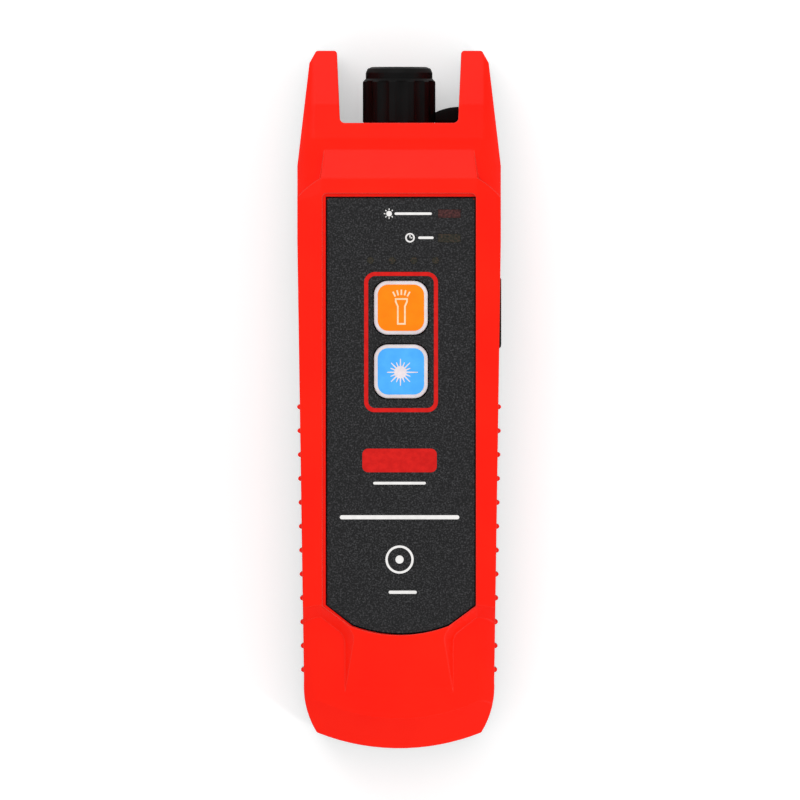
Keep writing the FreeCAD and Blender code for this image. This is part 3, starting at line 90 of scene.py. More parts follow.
def linear(red, green, blue):
    """An sRGB colour of 0 to 255 as linear RGBA."""
    channels = []
    for value in (red, green, blue):
        share = value / 255
        if share <= 0.04045:
            channels.append(share / 12.92)
        else:
            channels.append(((share + 0.055) / 1.055) ** 2.4)
    return (*channels, 1.0)


def shader_node(tree, kind, inputs=None, **settings):
    """A new node, with its settings and its inputs given or linked."""
    made = tree.nodes.new(kind)
    for key, value in settings.items():
        setattr(made, key, value)
    for key, value in (inputs or {}).items():
        if isinstance(value, bpy.types.NodeSocket):
            tree.links.new(value, made.inputs[key])
        else:
            made.inputs[key].default_value = value
    return made


def noise(tree, place, scale, detail=NOISE_DETAIL):
    """Noise with that many features per metre."""
    inputs = {"Vector": place, "Scale": scale, "Detail": detail, "Roughness": NOISE_ROUGHNESS}
    return shader_node(tree, "ShaderNodeTexNoise", inputs).outputs["Fac"]


def ramp(tree, factor, stops):
    """A colour ramp through (position, colour) stops."""
    made = shader_node(tree, "ShaderNodeValToRGB", {"Fac": factor})
    elements = made.color_ramp.elements
    while len(elements) < len(stops):
        elements.new(0.5)
    for element, (position, colour) in zip(elements, stops):
        element.position = position
        element.color = colour
    return made.outputs["Color"]


def spread(tree, factor, low, high):
    """The middle of a noise stretched to run from low to high."""
    inputs = {"Value": factor, "To Min": low, "To Max": high}
    inputs |= {"From Min": NOISE_LOW, "From Max": NOISE_HIGH}
    return shader_node(tree, "ShaderNodeMapRange", inputs).outputs["Result"]


def softened(tree, radius):
    """The surface direction with edges rounded by a radius in mm."""
    inputs = {"Radius": radius * MM}
    return shader_node(tree, "ShaderNodeBevel", inputs, samples=BEVEL_SAMPLES).outputs["Normal"]


def edge_highlight_paint(tree, colour, highlight_tone):
    """A colour that turns to a lighter tone along the edges: a painted highlight."""
    shape = shader_node(tree, "ShaderNodeNewGeometry").outputs["Normal"]
    inputs = {0: shape, 1: softened(tree, HIGHLIGHT_RADIUS)}
    product = shader_node(tree, "ShaderNodeVectorMath", inputs, operation="DOT_PRODUCT")
    facing = product.outputs["Value"]
    inputs = {"Value": facing, "To Min": 1.0, "To Max": 0.0}
    inputs |= {"From Min": HIGHLIGHT_FROM, "From Max": HIGHLIGHT_TO}
    painted_highlight = shader_node(tree, "ShaderNodeMapRange", inputs).outputs["Result"]
    blend = shader_node(tree, "ShaderNodeMix", data_type="RGBA")
    tree.links.new(painted_highlight, blend.inputs["Factor"])
    tree.links.new(colour, blend.inputs[MIX_FIRST])
    blend.inputs[MIX_SECOND].default_value = highlight_tone
    return blend.outputs[MIX_RESULT]


def material(
    name, stops, roughness, mottle, grain, depth,
    edge=0.0, gloss=0.5, sockets=None, highlight_tone=None,
):
    """A surface whose colour drifts through the stops, with a fine grain and softened edges."""
    made = bpy.data.materials.new(name)
    made.use_nodes = True
    tree = made.node_tree
    surface = tree.nodes["Principled BSDF"]
    place = shader_node(tree, "ShaderNodeTexCoord").outputs["Object"]
    drift = noise(tree, place, mottle)
    fine = noise(tree, place, grain, GRAIN_DETAIL)
    colour = ramp(tree, drift, stops)
    # A painted highlight: a lighter tone mixed in along the edges
    if highlight_tone:
        colour = edge_highlight_paint(tree, colour, highlight_tone)
    tree.links.new(colour, surface.inputs["Base Color"])
    tree.links.new(spread(tree, fine, *roughness), surface.inputs["Roughness"])
    bump = {"Height": fine, "Strength": 1.0, "Distance": depth * MM}
    if edge:
        bump["Normal"] = softened(tree, edge)
    relief = shader_node(tree, "ShaderNodeBump", bump)
    tree.links.new(relief.outputs["Normal"], surface.inputs["Normal"])
    surface.inputs["Specular IOR Level"].default_value = gloss
    for key, value in (sockets or {}).items():
        surface.inputs[key].default_value = value
    return made


# ---------------------------------------------------------------- finishes

RED = material(
    "red_shell_plastic",
    [(0.35, linear(250, 22, 2)), (0.65, linear(254, 28, 4))],
    (0.28, 0.38), mottle=45, grain=6500, depth=0.008, edge=0.6, gloss=0.13,
    # A lighter red painted along the edges as a highlight
    highlight_tone=linear(255, 92, 80),
)
GREY = material(
    "grey_shell_plastic",
    [(0.35, linear(36, 37, 40)), (0.65, linear(43, 44, 47))],
    (0.45, 0.6), mottle=60, grain=4200, depth=0.03, edge=0.35, gloss=0.3,
)
BLACK = material(
    "black_moulded_plastic",
    [(0.35, linear(7, 7, 7)), (0.65, linear(12, 12, 12))],
    (0.4, 0.54), mottle=120, grain=5200, depth=0.012, edge=0.15, gloss=0.12,
)
RUBBER = material(
    "black_rubber",
    [(0.35, linear(5, 5, 5)), (0.65, linear(9, 9, 9))],
    (0.55, 0.7), mottle=150, grain=6000, depth=0.012, edge=0.2, gloss=0.08,
)
LABEL = material(
    "label_film",
    [(0.30, linear(7, 7, 8)), (0.5, linear(20, 20, 22)), (0.70, linear(66, 66, 68))],
    (0.40, 0.52), mottle=3000, grain=3800, depth=0.02, gloss=0.4,
)
WINDOW_RED = material(
    "smoked_window_red",
    [(0.3, linear(34, 22, 22)), (0.5, linear(66, 32, 32)), (0.72, linear(98, 56, 54))],
    (0.3, 0.4), mottle=2300, grain=3400, depth=0.01, gloss=0.35,
)
WINDOW_GREEN = material(
    "smoked_window_green",
    [(0.3, linear(24, 24, 22)), (0.5, linear(44, 44, 34)), (0.72, linear(76, 56, 46))],
    (0.3, 0.4), mottle=2300, grain=3400, depth=0.01, gloss=0.35,
)
NICKEL = material(
    "nickel_plate",
    [(0.35, linear(186, 184, 178)), (0.65, linear(206, 204, 198))],
    (0.16, 0.3), mottle=220, grain=5200, depth=0.006, edge=0.1, sockets={"Metallic": 1.0},
)
STEEL = material(
    "steel",
    [(0.35, linear(150, 152, 156)), (0.65, linear(176, 178, 182))],
    (0.24, 0.4), mottle=260, grain=4200, depth=0.008, edge=0.1, sockets={"Metallic": 1.0},
)
BRASS = material(
    "brass",
    [(0.35, linear(196, 158, 84)), (0.65, linear(214, 178, 104))],
    (0.2, 0.34), mottle=220, grain=4200, depth=0.008, edge=0.1, sockets={"Metallic": 1.0},
)
CERAMIC = material(
    "white_ceramic",
    [(0.35, linear(232, 230, 222)), (0.65, linear(242, 240, 233))],
    (0.12, 0.2), mottle=300, grain=6000, depth=0.004, edge=0.08,
)
GLASS = material(
    "clear_lens",
    [(0.35, linear(236, 240, 242)), (0.65, linear(246, 248, 250))],
    (0.03, 0.08), mottle=200, grain=5200, depth=0.002, edge=0.06,
    sockets={"Transmission Weight": 1.0, "IOR": 1.49},
)
BOARD = material(
    "board_green",
    [(0.35, linear(20, 82, 48)), (0.65, linear(26, 98, 58))],
    (0.3, 0.45), mottle=500, grain=5200, depth=0.012, edge=0.06,
)
WRAP = material(
    "cell_wrap",
    [(0.35, linear(58, 92, 150)), (0.65, linear(66, 104, 166))],
    (0.25, 0.4), mottle=200, grain=3800, depth=0.01, edge=0.1,
)
KEY_RIM = material(
    "key_rim_silicone",
    [(0.35, linear(222, 206, 208)), (0.65, linear(234, 220, 222))],
    (0.42, 0.55), mottle=300, grain=5200, depth=0.008, edge=0.1,
    sockets={"Subsurface Weight": 0.1},
)
KEY_ORANGE = material(
    "key_pad_orange",
    [(0.35, linear(253, 128, 0)), (0.65, linear(255, 136, 2))],
    (0.36, 0.5), mottle=300, grain=5200, depth=0.008, gloss=0.15,
)
KEY_BLUE = material(
    "key_pad_blue",
    [(0.35, linear(72, 168, 246)), (0.65, linear(82, 178, 252))],
    (0.36, 0.5), mottle=300, grain=5200, depth=0.008, gloss=0.15,
)
INK_WHITE = material(
    "ink_white",
    [(0.35, linear(230, 228, 226)), (0.65, linear(240, 238, 236))],
    (0.4, 0.55), mottle=900, grain=5200, depth=0.006,
)
INK_PALE = material(
    "ink_key_pale",
    [(0.35, linear(226, 214, 220)), (0.65, linear(238, 226, 230))],
    (0.4, 0.55), mottle=900, grain=5200, depth=0.006,
)
INK_CREAM = material(
    "ink_key_cream",
    [(0.35, linear(240, 206, 162)), (0.65, linear(247, 218, 180))],
    (0.4, 0.55), mottle=900, grain=5200, depth=0.006, gloss=0.2,
)
INK_RED = material(
    "ink_red",
    [(0.35, linear(200, 16, 12)), (0.65, linear(216, 24, 18))],
    (0.4, 0.55), mottle=900, grain=3800, depth=0.012, gloss=0.15,
)

FINISHES = {
    "front_shell": RED,
    "rear_shell": GREY,
    "shell_seal": RUBBER,
    "front_label": LABEL,
    "torch_switch": BLACK,
    "laser_switch": BLACK,
    "torch_switch_button": BLACK,
    "laser_switch_button": BLACK,
    "controller_chip": BLACK,
    "driver_coil": BLACK,
    "laser_indicator": WINDOW_RED,
    "auto_off_indicator": WINDOW_GREEN,
    "battery_level_lights": WINDOW_GREEN,
    "port_barrel": NICKEL,
    "port_nut": NICKEL,
    "laser_diode": NICKEL,
    "battery_contacts": NICKEL,
    "ferrule_sleeve": CERAMIC,
    "dust_cap": BLACK,
    "cap_tether": RUBBER,
    "side_port_cover": RUBBER,
    "laser_module": BRASS,
    "laser_lens": GLASS,
    "torch_lens": GLASS,
    "torch_led": GLASS,
    "side_cover_pin": STEEL,
    "charging_socket": STEEL,
    "case_screws": STEEL,
    "board_screws": STEEL,
    "charging_board": BOARD,
    "main_board": BOARD,
    "battery_cell": WRAP,
    "torch_key": KEY_RIM,
    "laser_key": KEY_RIM,
}


def dress_nodes():
    """Gives each CAD node its finish."""
    for name, finish in FINISHES.items():
        shape = NODES[name].data
        shape.materials.clear()
        shape.materials.append(finish)


# ---------------------------------------------------------------- mesh help


def mesh_object(name, points, faces, materials, picks=None, smooth=False):
    """A mesh object from points in mm, with a material pick for each face."""
    mesh = bpy.data.meshes.new(name)
    mesh.from_pydata([Vector(p) * MM for p in points], [], faces)
    for finish in materials:
        mesh.materials.append(finish)
    if picks:
        mesh.polygons.foreach_set("material_index", picks)
    mesh.polygons.foreach_set("use_smooth", [smooth] * len(faces))
    made = bpy.data.objects.new(name, mesh)
    bpy.context.scene.collection.objects.link(made)
    turned = bmesh.new()
    turned.from_mesh(mesh)
    bmesh.ops.recalc_face_normals(turned, faces=turned.faces)
    turned.to_mesh(mesh)
    turned.free()
    return made


def rounded(centre, size, radius, steps=8):
    """The outline of a rounded rectangle, anticlockwise."""
    points = []
    corners = ((1, 1), (-1, 1), (-1, -1), (1, -1))
    for turn, (across, up) in enumerate(corners):
        middle_x = centre[0] + across * (size[0] / 2 - radius)
        middle_y = centre[1] + up * (size[1] / 2 - radius)
        for step in range(steps + 1):
            angle = math.radians(90 * turn + 90 * step / steps)
            x = middle_x + radius * math.cos(angle)
            y = middle_y + radius * math.sin(angle)
            points.append((x, y))
    return points


def stacked(name, loops, materials, picks):
    """A closed skin through loops of equal count, capped at both ends."""
    count = len(loops[0])
    points = [point for loop in loops for point in loop]
    faces = []
    chosen = []
    for level in range(len(loops) - 1):
        base = level * count
        for index in range(count):
            after = (index + 1) % count
            low_edge = (base + index, base + after)
            faces.append((*low_edge, low_edge[1] + count, low_edge[0] + count))
            chosen.append(picks[level])
    last = (len(loops) - 1) * count
    faces.append(tuple(range(last, last + count)))
    chosen.append(picks[-1])
    faces.append(tuple(reversed(range(count))))
    chosen.append(picks[0])
    return mesh_object(name, points, faces, materials, chosen, smooth=True)


def flat_shapes(name, outlines, low, high, finish):
    """Thin plates of the given outlines between two heights."""
    points = []
    faces = []
    for outline in outlines:
        start = len(points)
        count = len(outline)
        points += [(x, y, low) for x, y in outline]
        points += [(x, y, high) for x, y in outline]
        faces.append(tuple(range(start + count, start + 2 * count)))
        faces.append(tuple(reversed(range(start, start + count))))
        for index in range(count):
            after = (index + 1) % count
            low_edge = (start + index, start + after)
            faces.append((*low_edge, low_edge[1] + count, low_edge[0] + count))
    return mesh_object(name, points, faces, [finish])


def flat_ring(name, outer, inner, low, high, finish):
    """A thin flat band between two outlines of equal count."""
    count = len(outer)
    rings = ((outer, low), (outer, high), (inner, high), (inner, low))
    points = [(x, y, z) for outline, z in rings for x, y in outline]
    faces = []
    for ring in range(4):
        base = ring * count
        other = (ring + 1) % 4 * count
        for index in range(count):
            after = (index + 1) % count
            faces.append((base + index, base + after, other + after, other + index))
    return mesh_object(name, points, faces, [finish])


def ray(centre, angle, near, far, near_width, far_width):
    """A tapered stroke pointing away from a centre, its angle measured from +Y."""
    turn = math.radians(angle)
    along = (math.sin(turn), math.cos(turn))
    across = (along[1], -along[0])
    corners = (
        (near, near_width / 2),
        (near, -near_width / 2),
        (far, -far_width / 2),
        (far, far_width / 2),
    )
    outline = []
    for distance, half in corners:
        x = centre[0] + along[0] * distance + across[0] * half
        y = centre[1] + along[1] * distance + across[1] * half
        outline.append((x, y))
    return outline


def disc(centre, radius, count=40):
    """A round outline."""
    steps = [2 * math.pi * index / count for index in range(count)]
    return [(centre[0] + radius * math.cos(a), centre[1] + radius * math.sin(a)) for a in steps]


# ---------------------------------------------------------------- keys

# A key's width, corner and rim, and its sections as (drop below the top, loss of width)
KEY_WIDTH = 11.85
KEY_CORNER = 3.1
KEY_RIM_WIDTH = 0.86
KEY_DECK_DROP = 1.9
KEY_RIM_SECTION = ((0.75, 0.0), (0.42, 0.12), (0.20, 0.42), (0.13, 0.85))
KEY_PAD_SECTION = ((0.12, -0.1), (0.09, 0.05), (0.05, 0.8))

# The crown as (drop below the top, share of the key's width)
KEY_CROWN_SECTION = ((0.02, 1 / 2), (0.0, 1 / 4))
KEY_CORNER_SHARE = 0.3
KEY_CORNER_STEPS = 10

# Which of a key's materials a section has
RIM_TINT = 0
PAD_TINT = 1
SKIRT_TINT = 2

ICON_PROUD = 0.015
ICON_SINK = 0.06

TORCH_SHIFT = 0.1
TORCH_RAY_TURNS = (-28, -14, 0, 14, 28)
TORCH_RAY_SPAN = (2.8, 3.98)
TORCH_RAY_WIDTHS = (0.36, 0.34)
TORCH_OUTER_HALF = ((1.42, 2.1), (1.42, 1.3), (0.96, 0.25), (0.96, -3.72))
TORCH_INNER_HALF = ((1.06, 1.74), (1.06, 1.38), (0.60, 0.33), (0.60, -3.36))

BURST_SHIFT = (-0.1, -0.2)
BURST_RADIUS = 1.35
BURST_RAYS = 16
BURST_BEAM = 4
BURST_BEAM_REACH = 3.85
BURST_LONG_REACH = 2.95
BURST_SHORT_REACH = 2.35
BURST_RAY_HALF = 0.16
BURST_TIP_HALF = 0.09


def node_box(name):
    """A CAD node's lowest and highest corners in mm."""
    low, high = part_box(name)
    return [value / MM for value in low], [value / MM for value in high]


def key_piece(name, node, body, pad):
    """A soft key with a pale rim and a coloured crowned pad; gives the middle of its top."""
    low, high = node_box(node)
    x = (low[0] + high[0]) / 2
    y = (low[1] + high[1]) / 2
    foot = low[2]
    top = high[2]
    flange = high[0] - low[0]
    deck = top - KEY_DECK_DROP
    pad_width = KEY_WIDTH - 2 * KEY_RIM_WIDTH
    profile = [(foot, flange, SKIRT_TINT), (deck, flange, SKIRT_TINT)]
    profile.append((deck, KEY_WIDTH, SKIRT_TINT))
    profile += [(top - drop, KEY_WIDTH - loss, RIM_TINT) for drop, loss in KEY_RIM_SECTION]
    profile += [(top - drop, pad_width - loss, PAD_TINT) for drop, loss in KEY_PAD_SECTION]
    profile += [(top - drop, KEY_WIDTH * share, PAD_TINT) for drop, share in KEY_CROWN_SECTION]
    loops = []
    for height, width, _ in profile:
        radius = max(KEY_CORNER - (KEY_WIDTH - width) / 2, KEY_CORNER_SHARE * width / 2)
        outline = rounded((x, y), (width, width), radius, KEY_CORNER_STEPS)
        loops.append([(px, py, height) for px, py in outline])
    picks = [tint for _, _, tint in profile]
    made = stacked(name, loops, [KEY_RIM, pad, RUBBER], picks)
    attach(made, body)
    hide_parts(node)
    return x, y, top


def torch_icon(x, y, top):
    """An outlined hand torch with five rays."""
    low = top - ICON_SINK
    high = top + ICON_PROUD
    middle = x + TORCH_SHIFT
    strokes = []
    for turn in TORCH_RAY_TURNS:
        strokes.append(ray((middle, y), turn, *TORCH_RAY_SPAN, *TORCH_RAY_WIDTHS))
    rays = flat_shapes("torch_key_rays", strokes, low, high, INK_CREAM)
    rings = []
    for half in (TORCH_OUTER_HALF, TORCH_INNER_HALF):
        right = [(middle + dx, y + dy) for dx, dy in half]
        left = [(middle - dx, y + dy) for dx, dy in reversed(half)]
        rings.append(right + left)
    body = flat_ring("torch_key_icon", rings[0], rings[1], low, high, INK_CREAM)
    for piece in (rays, body):
        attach(piece, "torch_key_body")


def star(centre, radius, rays, half_width, tip_half):
    """One outline of a disc with tapered rays; rays gives each one's angle and reach."""
    outline = []
    half_gap = math.asin(half_width / radius)
    turns = [math.radians(angle) for angle, _ in rays]
    turns.append(turns[0] + 2 * math.pi)
    for index, (_, far) in enumerate(rays):
        turn = turns[index]
        half_tip = math.atan2(tip_half, far)
        outline.append((turn - half_gap, radius))
        outline.append((turn - half_tip, far))
        outline.append((turn + half_tip, far))
        outline.append((turn + half_gap, radius))
        room = turns[index + 1] - turn - 2 * half_gap
        for step in (1, 2):
            outline.append((turn + half_gap + room * step / 3, radius))
    x, y = centre
    return [(x + far * math.sin(turn), y + far * math.cos(turn)) for turn, far in outline]


def laser_icon(x, y, top):
    """A bright disc with long and short rays, the right one longest."""
    rays = []
    for index in range(BURST_RAYS):
        if index % 2:
            far = BURST_SHORT_REACH
        elif index == BURST_BEAM:
            far = BURST_BEAM_REACH
        else:
            far = BURST_LONG_REACH
        rays.append((360 / BURST_RAYS * index, far))
    centre = (x + BURST_SHIFT[0], y + BURST_SHIFT[1])
    outline = star(centre, BURST_RADIUS, rays, BURST_RAY_HALF, BURST_TIP_HALF)
    low = top - ICON_SINK
    high = top + ICON_PROUD
    piece = flat_shapes("laser_key_icon", [outline], low, high, INK_PALE)
    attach(piece, "laser_key_body")


# ---------------------------------------------------------------- prints and the label's painted shadow

# How far prints stand out of the label and reach into it
PRINT_PROUD = 0.015
PRINT_SINK = 0.02

# The red line round both keys, with the sag at its top corners
KEYPAD_MIDDLE = (0.43, 12.72)
KEYPAD_SIZE = (16.25, 31.0)
KEYPAD_LINE = 0.9
KEYPAD_CORNER = 2.3
KEYPAD_INNER_LOSS = 0.9
KEYPAD_SAG = 0.3
KEYPAD_PROUD = 0.02
KEYPAD_STEPS = 10

# The label's outline: where its sides end, and its lower round end
LABEL_SIDE_END = 6.2
LABEL_KNEE_HALF = 10.6
LABEL_KNEE_RISE = 2.0
LABEL_KNEE_SPREAD = 0.5
LABEL_ROUND_STEPS = 16

# A painted shadow round the label: the band's width, and how far below the label's top it lies
SHADOW_BAND_WIDTH = 0.32
SHADOW_BAND_TOP_DROP = 0.2
SHADOW_BAND_FOOT_DROP = 0.4

# Bars and plates on the label as (middle, size, corner)
BEAM_BAR = ((3.1, 40.9), (8.2, 0.55), 0.27)
TIMER_HANDS = (((2.4, 35.85), (0.26, 0.75), 0.12), ((2.62, 35.6), (0.62, 0.26), 0.12))
TIMER_BAR = ((5.9, 35.6), (3.4, 0.55), 0.27)
RED_PLATE = ((0.1, -13.4), (16.4, 5.2), 1.3)
RULE_LINES = (((0.1, -18.4), (11.6, 0.6), 0.3), ((0.1, -25.9), (26.3, 0.9), 0.45))
LOWER_BAR = ((0.8, -42.4), (6.2, 0.7), 0.35)
HAND_STEPS = 3
BAR_STEPS = 4
PLATE_STEPS = 8

# Round marks on the label: middles, and radii from the outside in
BEAM_MIDDLE = (-2.2, 40.9)
BEAM_RADIUS = 0.62
BEAM_STEPS = 28
BEAM_RAY_TURN = 45
BEAM_BAR_TURN = 90
BEAM_RAY_SPAN = (0.8, 1.15)
BEAM_RAY_WIDTHS = (0.22, 0.18)
TIMER_MIDDLE = (2.4, 35.6)
TIMER_RADII = (1.05, 0.72)
PORT_MIDDLE = (0.1, -35.2)
PORT_RADII = (3.1, 2.6)
PORT_DOT_RADIUS = 0.9
PORT_STEPS = 56


def label_print_and_shadow(piece):
    """A print on the label, or the painted shadow round it, carried by the housing."""
    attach(piece, "housing")


def keypad_frame(label_top):
    """The red line that frames both keys, its top edge slightly arched."""
    outlines = []
    for inset in (0, KEYPAD_LINE):
        width = KEYPAD_SIZE[0] - 2 * inset
        height = KEYPAD_SIZE[1] - 2 * inset
        corner = KEYPAD_CORNER - inset * KEYPAD_INNER_LOSS
        arched = []
        for x, y in rounded(KEYPAD_MIDDLE, (width, height), corner, KEYPAD_STEPS):
            across = (x - KEYPAD_MIDDLE[0]) / (KEYPAD_SIZE[0] / 2)
            up = max(0.0, (y - KEYPAD_MIDDLE[1]) / (KEYPAD_SIZE[1] / 2))
            arched.append((x, y - KEYPAD_SAG * up ** 4 * across ** 2))
        outlines.append(arched)
    label_print_and_shadow(flat_ring(
        "keypad_frame_print", outlines[0], outlines[1],
        label_top - PRINT_SINK, label_top + KEYPAD_PROUD, INK_RED,
    ))


def label_outline(gap):
    """The label's outline, moved out by a gap: straight sides, lower diagonals and a round end."""
    low, high = node_box("front_label")
    middle = (low[0] + high[0]) / 2
    half = (high[0] - low[0]) / 2 + gap
    top_y = high[1] + gap
    side_y = low[1] + LABEL_SIDE_END
    knee = LABEL_KNEE_HALF + LABEL_KNEE_SPREAD * gap
    knee_y = low[1] + LABEL_KNEE_RISE - gap
    end_y = low[1] - gap
    points = [(middle + half, side_y), (middle + half, top_y)]
    points += [(middle - half, top_y), (middle - half, side_y)]
    for step in range(LABEL_ROUND_STEPS + 1):
        share = 2 * step / LABEL_ROUND_STEPS - 1
        points.append((middle + knee * share, end_y + (knee_y - end_y) * share * share))
    return points


def label_painted_shadow(label_top):
    """A painted shadow: a dark band round the label in its recess, where the gap by the recess
    wall lies in shade.
    """
    label_print_and_shadow(flat_ring(
        "label_painted_shadow", label_outline(SHADOW_BAND_WIDTH), label_outline(0.0),
        label_top - SHADOW_BAND_FOOT_DROP, label_top - SHADOW_BAND_TOP_DROP, RUBBER,
    ))


def label_marks(label_top):
    """Plain marks that stand where a label carries its words."""
    low = label_top - PRINT_SINK
    high = label_top + PRINT_PROUD
    beam = [disc(BEAM_MIDDLE, BEAM_RADIUS, BEAM_STEPS), rounded(*BEAM_BAR, BAR_STEPS)]
    for turn in range(0, 360, BEAM_RAY_TURN):
        if turn != BEAM_BAR_TURN:
            beam.append(ray(BEAM_MIDDLE, turn, *BEAM_RAY_SPAN, *BEAM_RAY_WIDTHS))
    hands = [rounded(*hand, HAND_STEPS) for hand in TIMER_HANDS]
    hands.append(rounded(*TIMER_BAR, BAR_STEPS))
    timer = [disc(TIMER_MIDDLE, radius) for radius in TIMER_RADII]
    port = [disc(PORT_MIDDLE, radius, PORT_STEPS) for radius in PORT_RADII]
    plate = rounded(*RED_PLATE, PLATE_STEPS)
    lines = [rounded(*line, BAR_STEPS) for line in RULE_LINES]
    dot = disc(PORT_MIDDLE, PORT_DOT_RADIUS)
    lower_bar = rounded(*LOWER_BAR, BAR_STEPS)
    pieces = (
        flat_shapes("laser_mark_print", beam, low, high, INK_WHITE),
        flat_ring("timer_mark_print", *timer, low, high, INK_WHITE),
        flat_shapes("timer_hands_print", hands, low, high, INK_WHITE),
        flat_shapes("red_panel_print", [plate], low, high, INK_RED),
        flat_shapes("rule_lines_print", lines, low, high, INK_WHITE),
        flat_ring("port_ring_print", *port, low, high, INK_WHITE),
        flat_shapes("port_dot_print", [dot], low, high, INK_WHITE),
        flat_shapes("lower_bar_print", [lower_bar], low, high, INK_WHITE),
    )
    for piece in pieces:
        label_print_and_shadow(piece)


# ---------------------------------------------------------------- strap

STRAP_BITE = 0.45
STRAP_DIP = 1.25
STRAP_EDGE = 0.7
STRAP_STEPS = 20
STRAP_EDGE_STEPS = 5


def strap():
    """The rubber strap between the cap's foot and the horn wall, its upper edge arched."""
    low, high = node_box("cap_tether")
    middle_z = (low[2] + high[2]) / 2
    near = low[0] - STRAP_BITE
    loops = []
    for step in range(STRAP_STEPS + 1):
        share = step / STRAP_STEPS
        x = near + (high[0] - near) * share
        top = high[1] - STRAP_DIP * (1 - share) ** 2
        size = (top - low[1], high[2] - low[2])
        middle = ((top + low[1]) / 2, middle_z)
        outline = rounded(middle, size, STRAP_EDGE, STRAP_EDGE_STEPS)
        loops.append([(x, y, z) for y, z in outline])
    made = stacked("tether_strap", loops, [RUBBER], [0] * len(loops))
    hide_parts("cap_tether")
    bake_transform(made)


# ---------------------------------------------------------------- stage

# All sizes from here on are in metres
FLOOR_SIZE = 6.0
FLOOR_DROP = 0.0002
FLOOR_MOTTLE = 9
FLOOR_TONES = [(0.3, (0.80, 0.80, 0.80, 1)), (0.7, (0.83, 0.83, 0.83, 1))]
FLOOR_ROUGHNESS = 0.9
FLOOR_GLOSS = 0.1
FLOOR_GLOW = 0.35

# The sky's strength as light, and in mirrors from the horizon to straight above
SKY_LEVEL = 0.84
SKY_MIRROR_FOOT = 1.0
SKY_MIRROR_TOP = 0.3
SKY_MIRROR_END = 0.9

# Each lamp's place, size and power in watts, and the point that all of them face
LAMPS = {
    "key_lamp": ((-0.12, 0.34, 0.46), (0.5, 0.26), 0.8),
    "fill_lamp": ((0.38, -0.34, 0.36), (0.05, 0.18), 0.6),
}
LAMP_AIM = Vector((0, 0, 0.015))

CAMERA_MIDDLE = (0.0002, -0.0001)
CAMERA_DISTANCE = 8.0
CAMERA_NEAR = 0.01
VIEW_WIDTH = 0.176
SENSOR = 36.0


def floor():
    """A plain pale floor that looks white but keeps the shadow."""
    mesh = bpy.data.meshes.new("floor")
    half = FLOOR_SIZE / 2
    level = CAD_BOX[0][2] - FLOOR_DROP
    turns = ((-1, -1), (1, -1), (1, 1), (-1, 1))
    corners = [(across * half, up * half, level) for across, up in turns]
    mesh.from_pydata(corners, [], [(0, 1, 2, 3)])
    made = bpy.data.objects.new("floor", mesh)
    bpy.context.scene.collection.objects.link(made)
    finish = bpy.data.materials.new("floor_paper")
    finish.use_nodes = True
    tree = finish.node_tree
    surface = tree.nodes["Principled BSDF"]
    place = shader_node(tree, "ShaderNodeTexCoord").outputs["Object"]
    tone = ramp(tree, noise(tree, place, FLOOR_MOTTLE), FLOOR_TONES)
    tree.links.new(tone, surface.inputs["Base Color"])
    surface.inputs["Roughness"].default_value = FLOOR_ROUGHNESS
    surface.inputs["Specular IOR Level"].default_value = FLOOR_GLOSS
    rays = shader_node(tree, "ShaderNodeLightPath").outputs
    inputs = {0: rays["Is Camera Ray"], 1: FLOOR_GLOW}
    glow = shader_node(tree, "ShaderNodeMath", inputs, operation="MULTIPLY")
    surface.inputs["Emission Color"].default_value = (1, 1, 1, 1)
    tree.links.new(glow.outputs["Value"], surface.inputs["Emission Strength"])
    mesh.materials.append(finish)


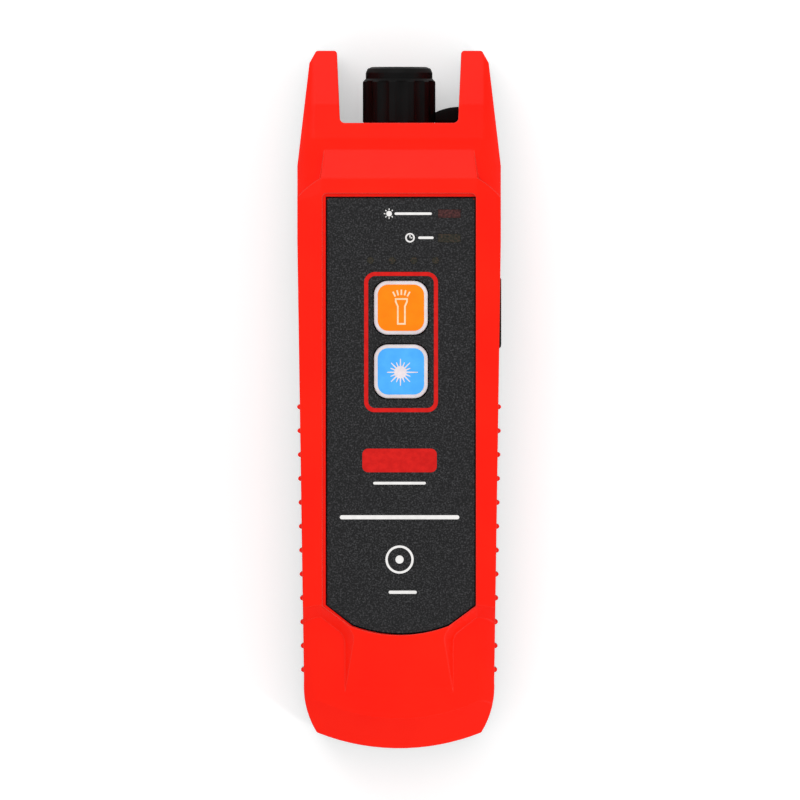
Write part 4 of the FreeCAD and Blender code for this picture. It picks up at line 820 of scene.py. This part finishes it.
def sky():
    """Soft light from all round, seen as white and mirrored dimmer overhead."""
    world = bpy.data.worlds.new("studio")
    bpy.context.scene.world = world
    world.use_nodes = True
    tree = world.node_tree
    way = shader_node(tree, "ShaderNodeTexCoord").outputs["Generated"]
    height = shader_node(tree, "ShaderNodeSeparateXYZ", {"Vector": way}).outputs["Z"]
    inputs = {"Value": height, "From Min": 0.0, "From Max": SKY_MIRROR_END}
    inputs |= {"To Min": SKY_MIRROR_FOOT, "To Max": SKY_MIRROR_TOP}
    mirrored = shader_node(tree, "ShaderNodeMapRange", inputs).outputs["Result"]
    rays = shader_node(tree, "ShaderNodeLightPath").outputs
    inputs = {"Factor": rays["Is Glossy Ray"], "A": SKY_LEVEL, "B": mirrored}
    light = shader_node(tree, "ShaderNodeMix", inputs).outputs["Result"]
    inputs = {"Factor": rays["Is Camera Ray"], "A": light, "B": 1.0}
    strength = shader_node(tree, "ShaderNodeMix", inputs)
    background = tree.nodes["Background"]
    background.inputs["Color"].default_value = (1, 1, 1, 1)
    tree.links.new(strength.outputs["Result"], background.inputs["Strength"])


def lamp(name, place, size, power):
    """A soft rectangular lamp that points at the object."""
    data = bpy.data.lights.new(name, "AREA")
    data.shape = "RECTANGLE"
    data.size, data.size_y = size
    data.energy = power
    made = bpy.data.objects.new(name, data)
    made.location = place
    aim = LAMP_AIM - Vector(place)
    made.rotation_euler = aim.to_track_quat("-Z", "Y").to_euler()
    bpy.context.scene.collection.objects.link(made)


def camera():
    """The camera looks straight down at the front."""
    data = bpy.data.cameras.new("camera")
    data.sensor_width = SENSOR
    data.lens = SENSOR * CAMERA_DISTANCE / VIEW_WIDTH
    data.clip_start = CAMERA_NEAR
    made = bpy.data.objects.new("camera", data)
    made.location = (*CAMERA_MIDDLE, CAD_BOX[1][2] + CAMERA_DISTANCE)
    bpy.context.scene.collection.objects.link(made)
    bpy.context.scene.camera = made


def main():
    """Dresses the model and sets the stage."""
    dress_nodes()
    label_top = node_box("front_label")[1][2]
    torch_icon(*key_piece("torch_key_cap", "torch_key", "torch_key_body", KEY_ORANGE))
    laser_icon(*key_piece("laser_key_cap", "laser_key", "laser_key_body", KEY_BLUE))
    keypad_frame(label_top)
    label_marks(label_top)
    label_painted_shadow(label_top)
    strap()
    floor()
    sky()
    for name, (place, size, power) in LAMPS.items():
        lamp(name, place, size, power)
    camera()
    bpy.context.scene.view_settings.view_transform = "Standard"


main()
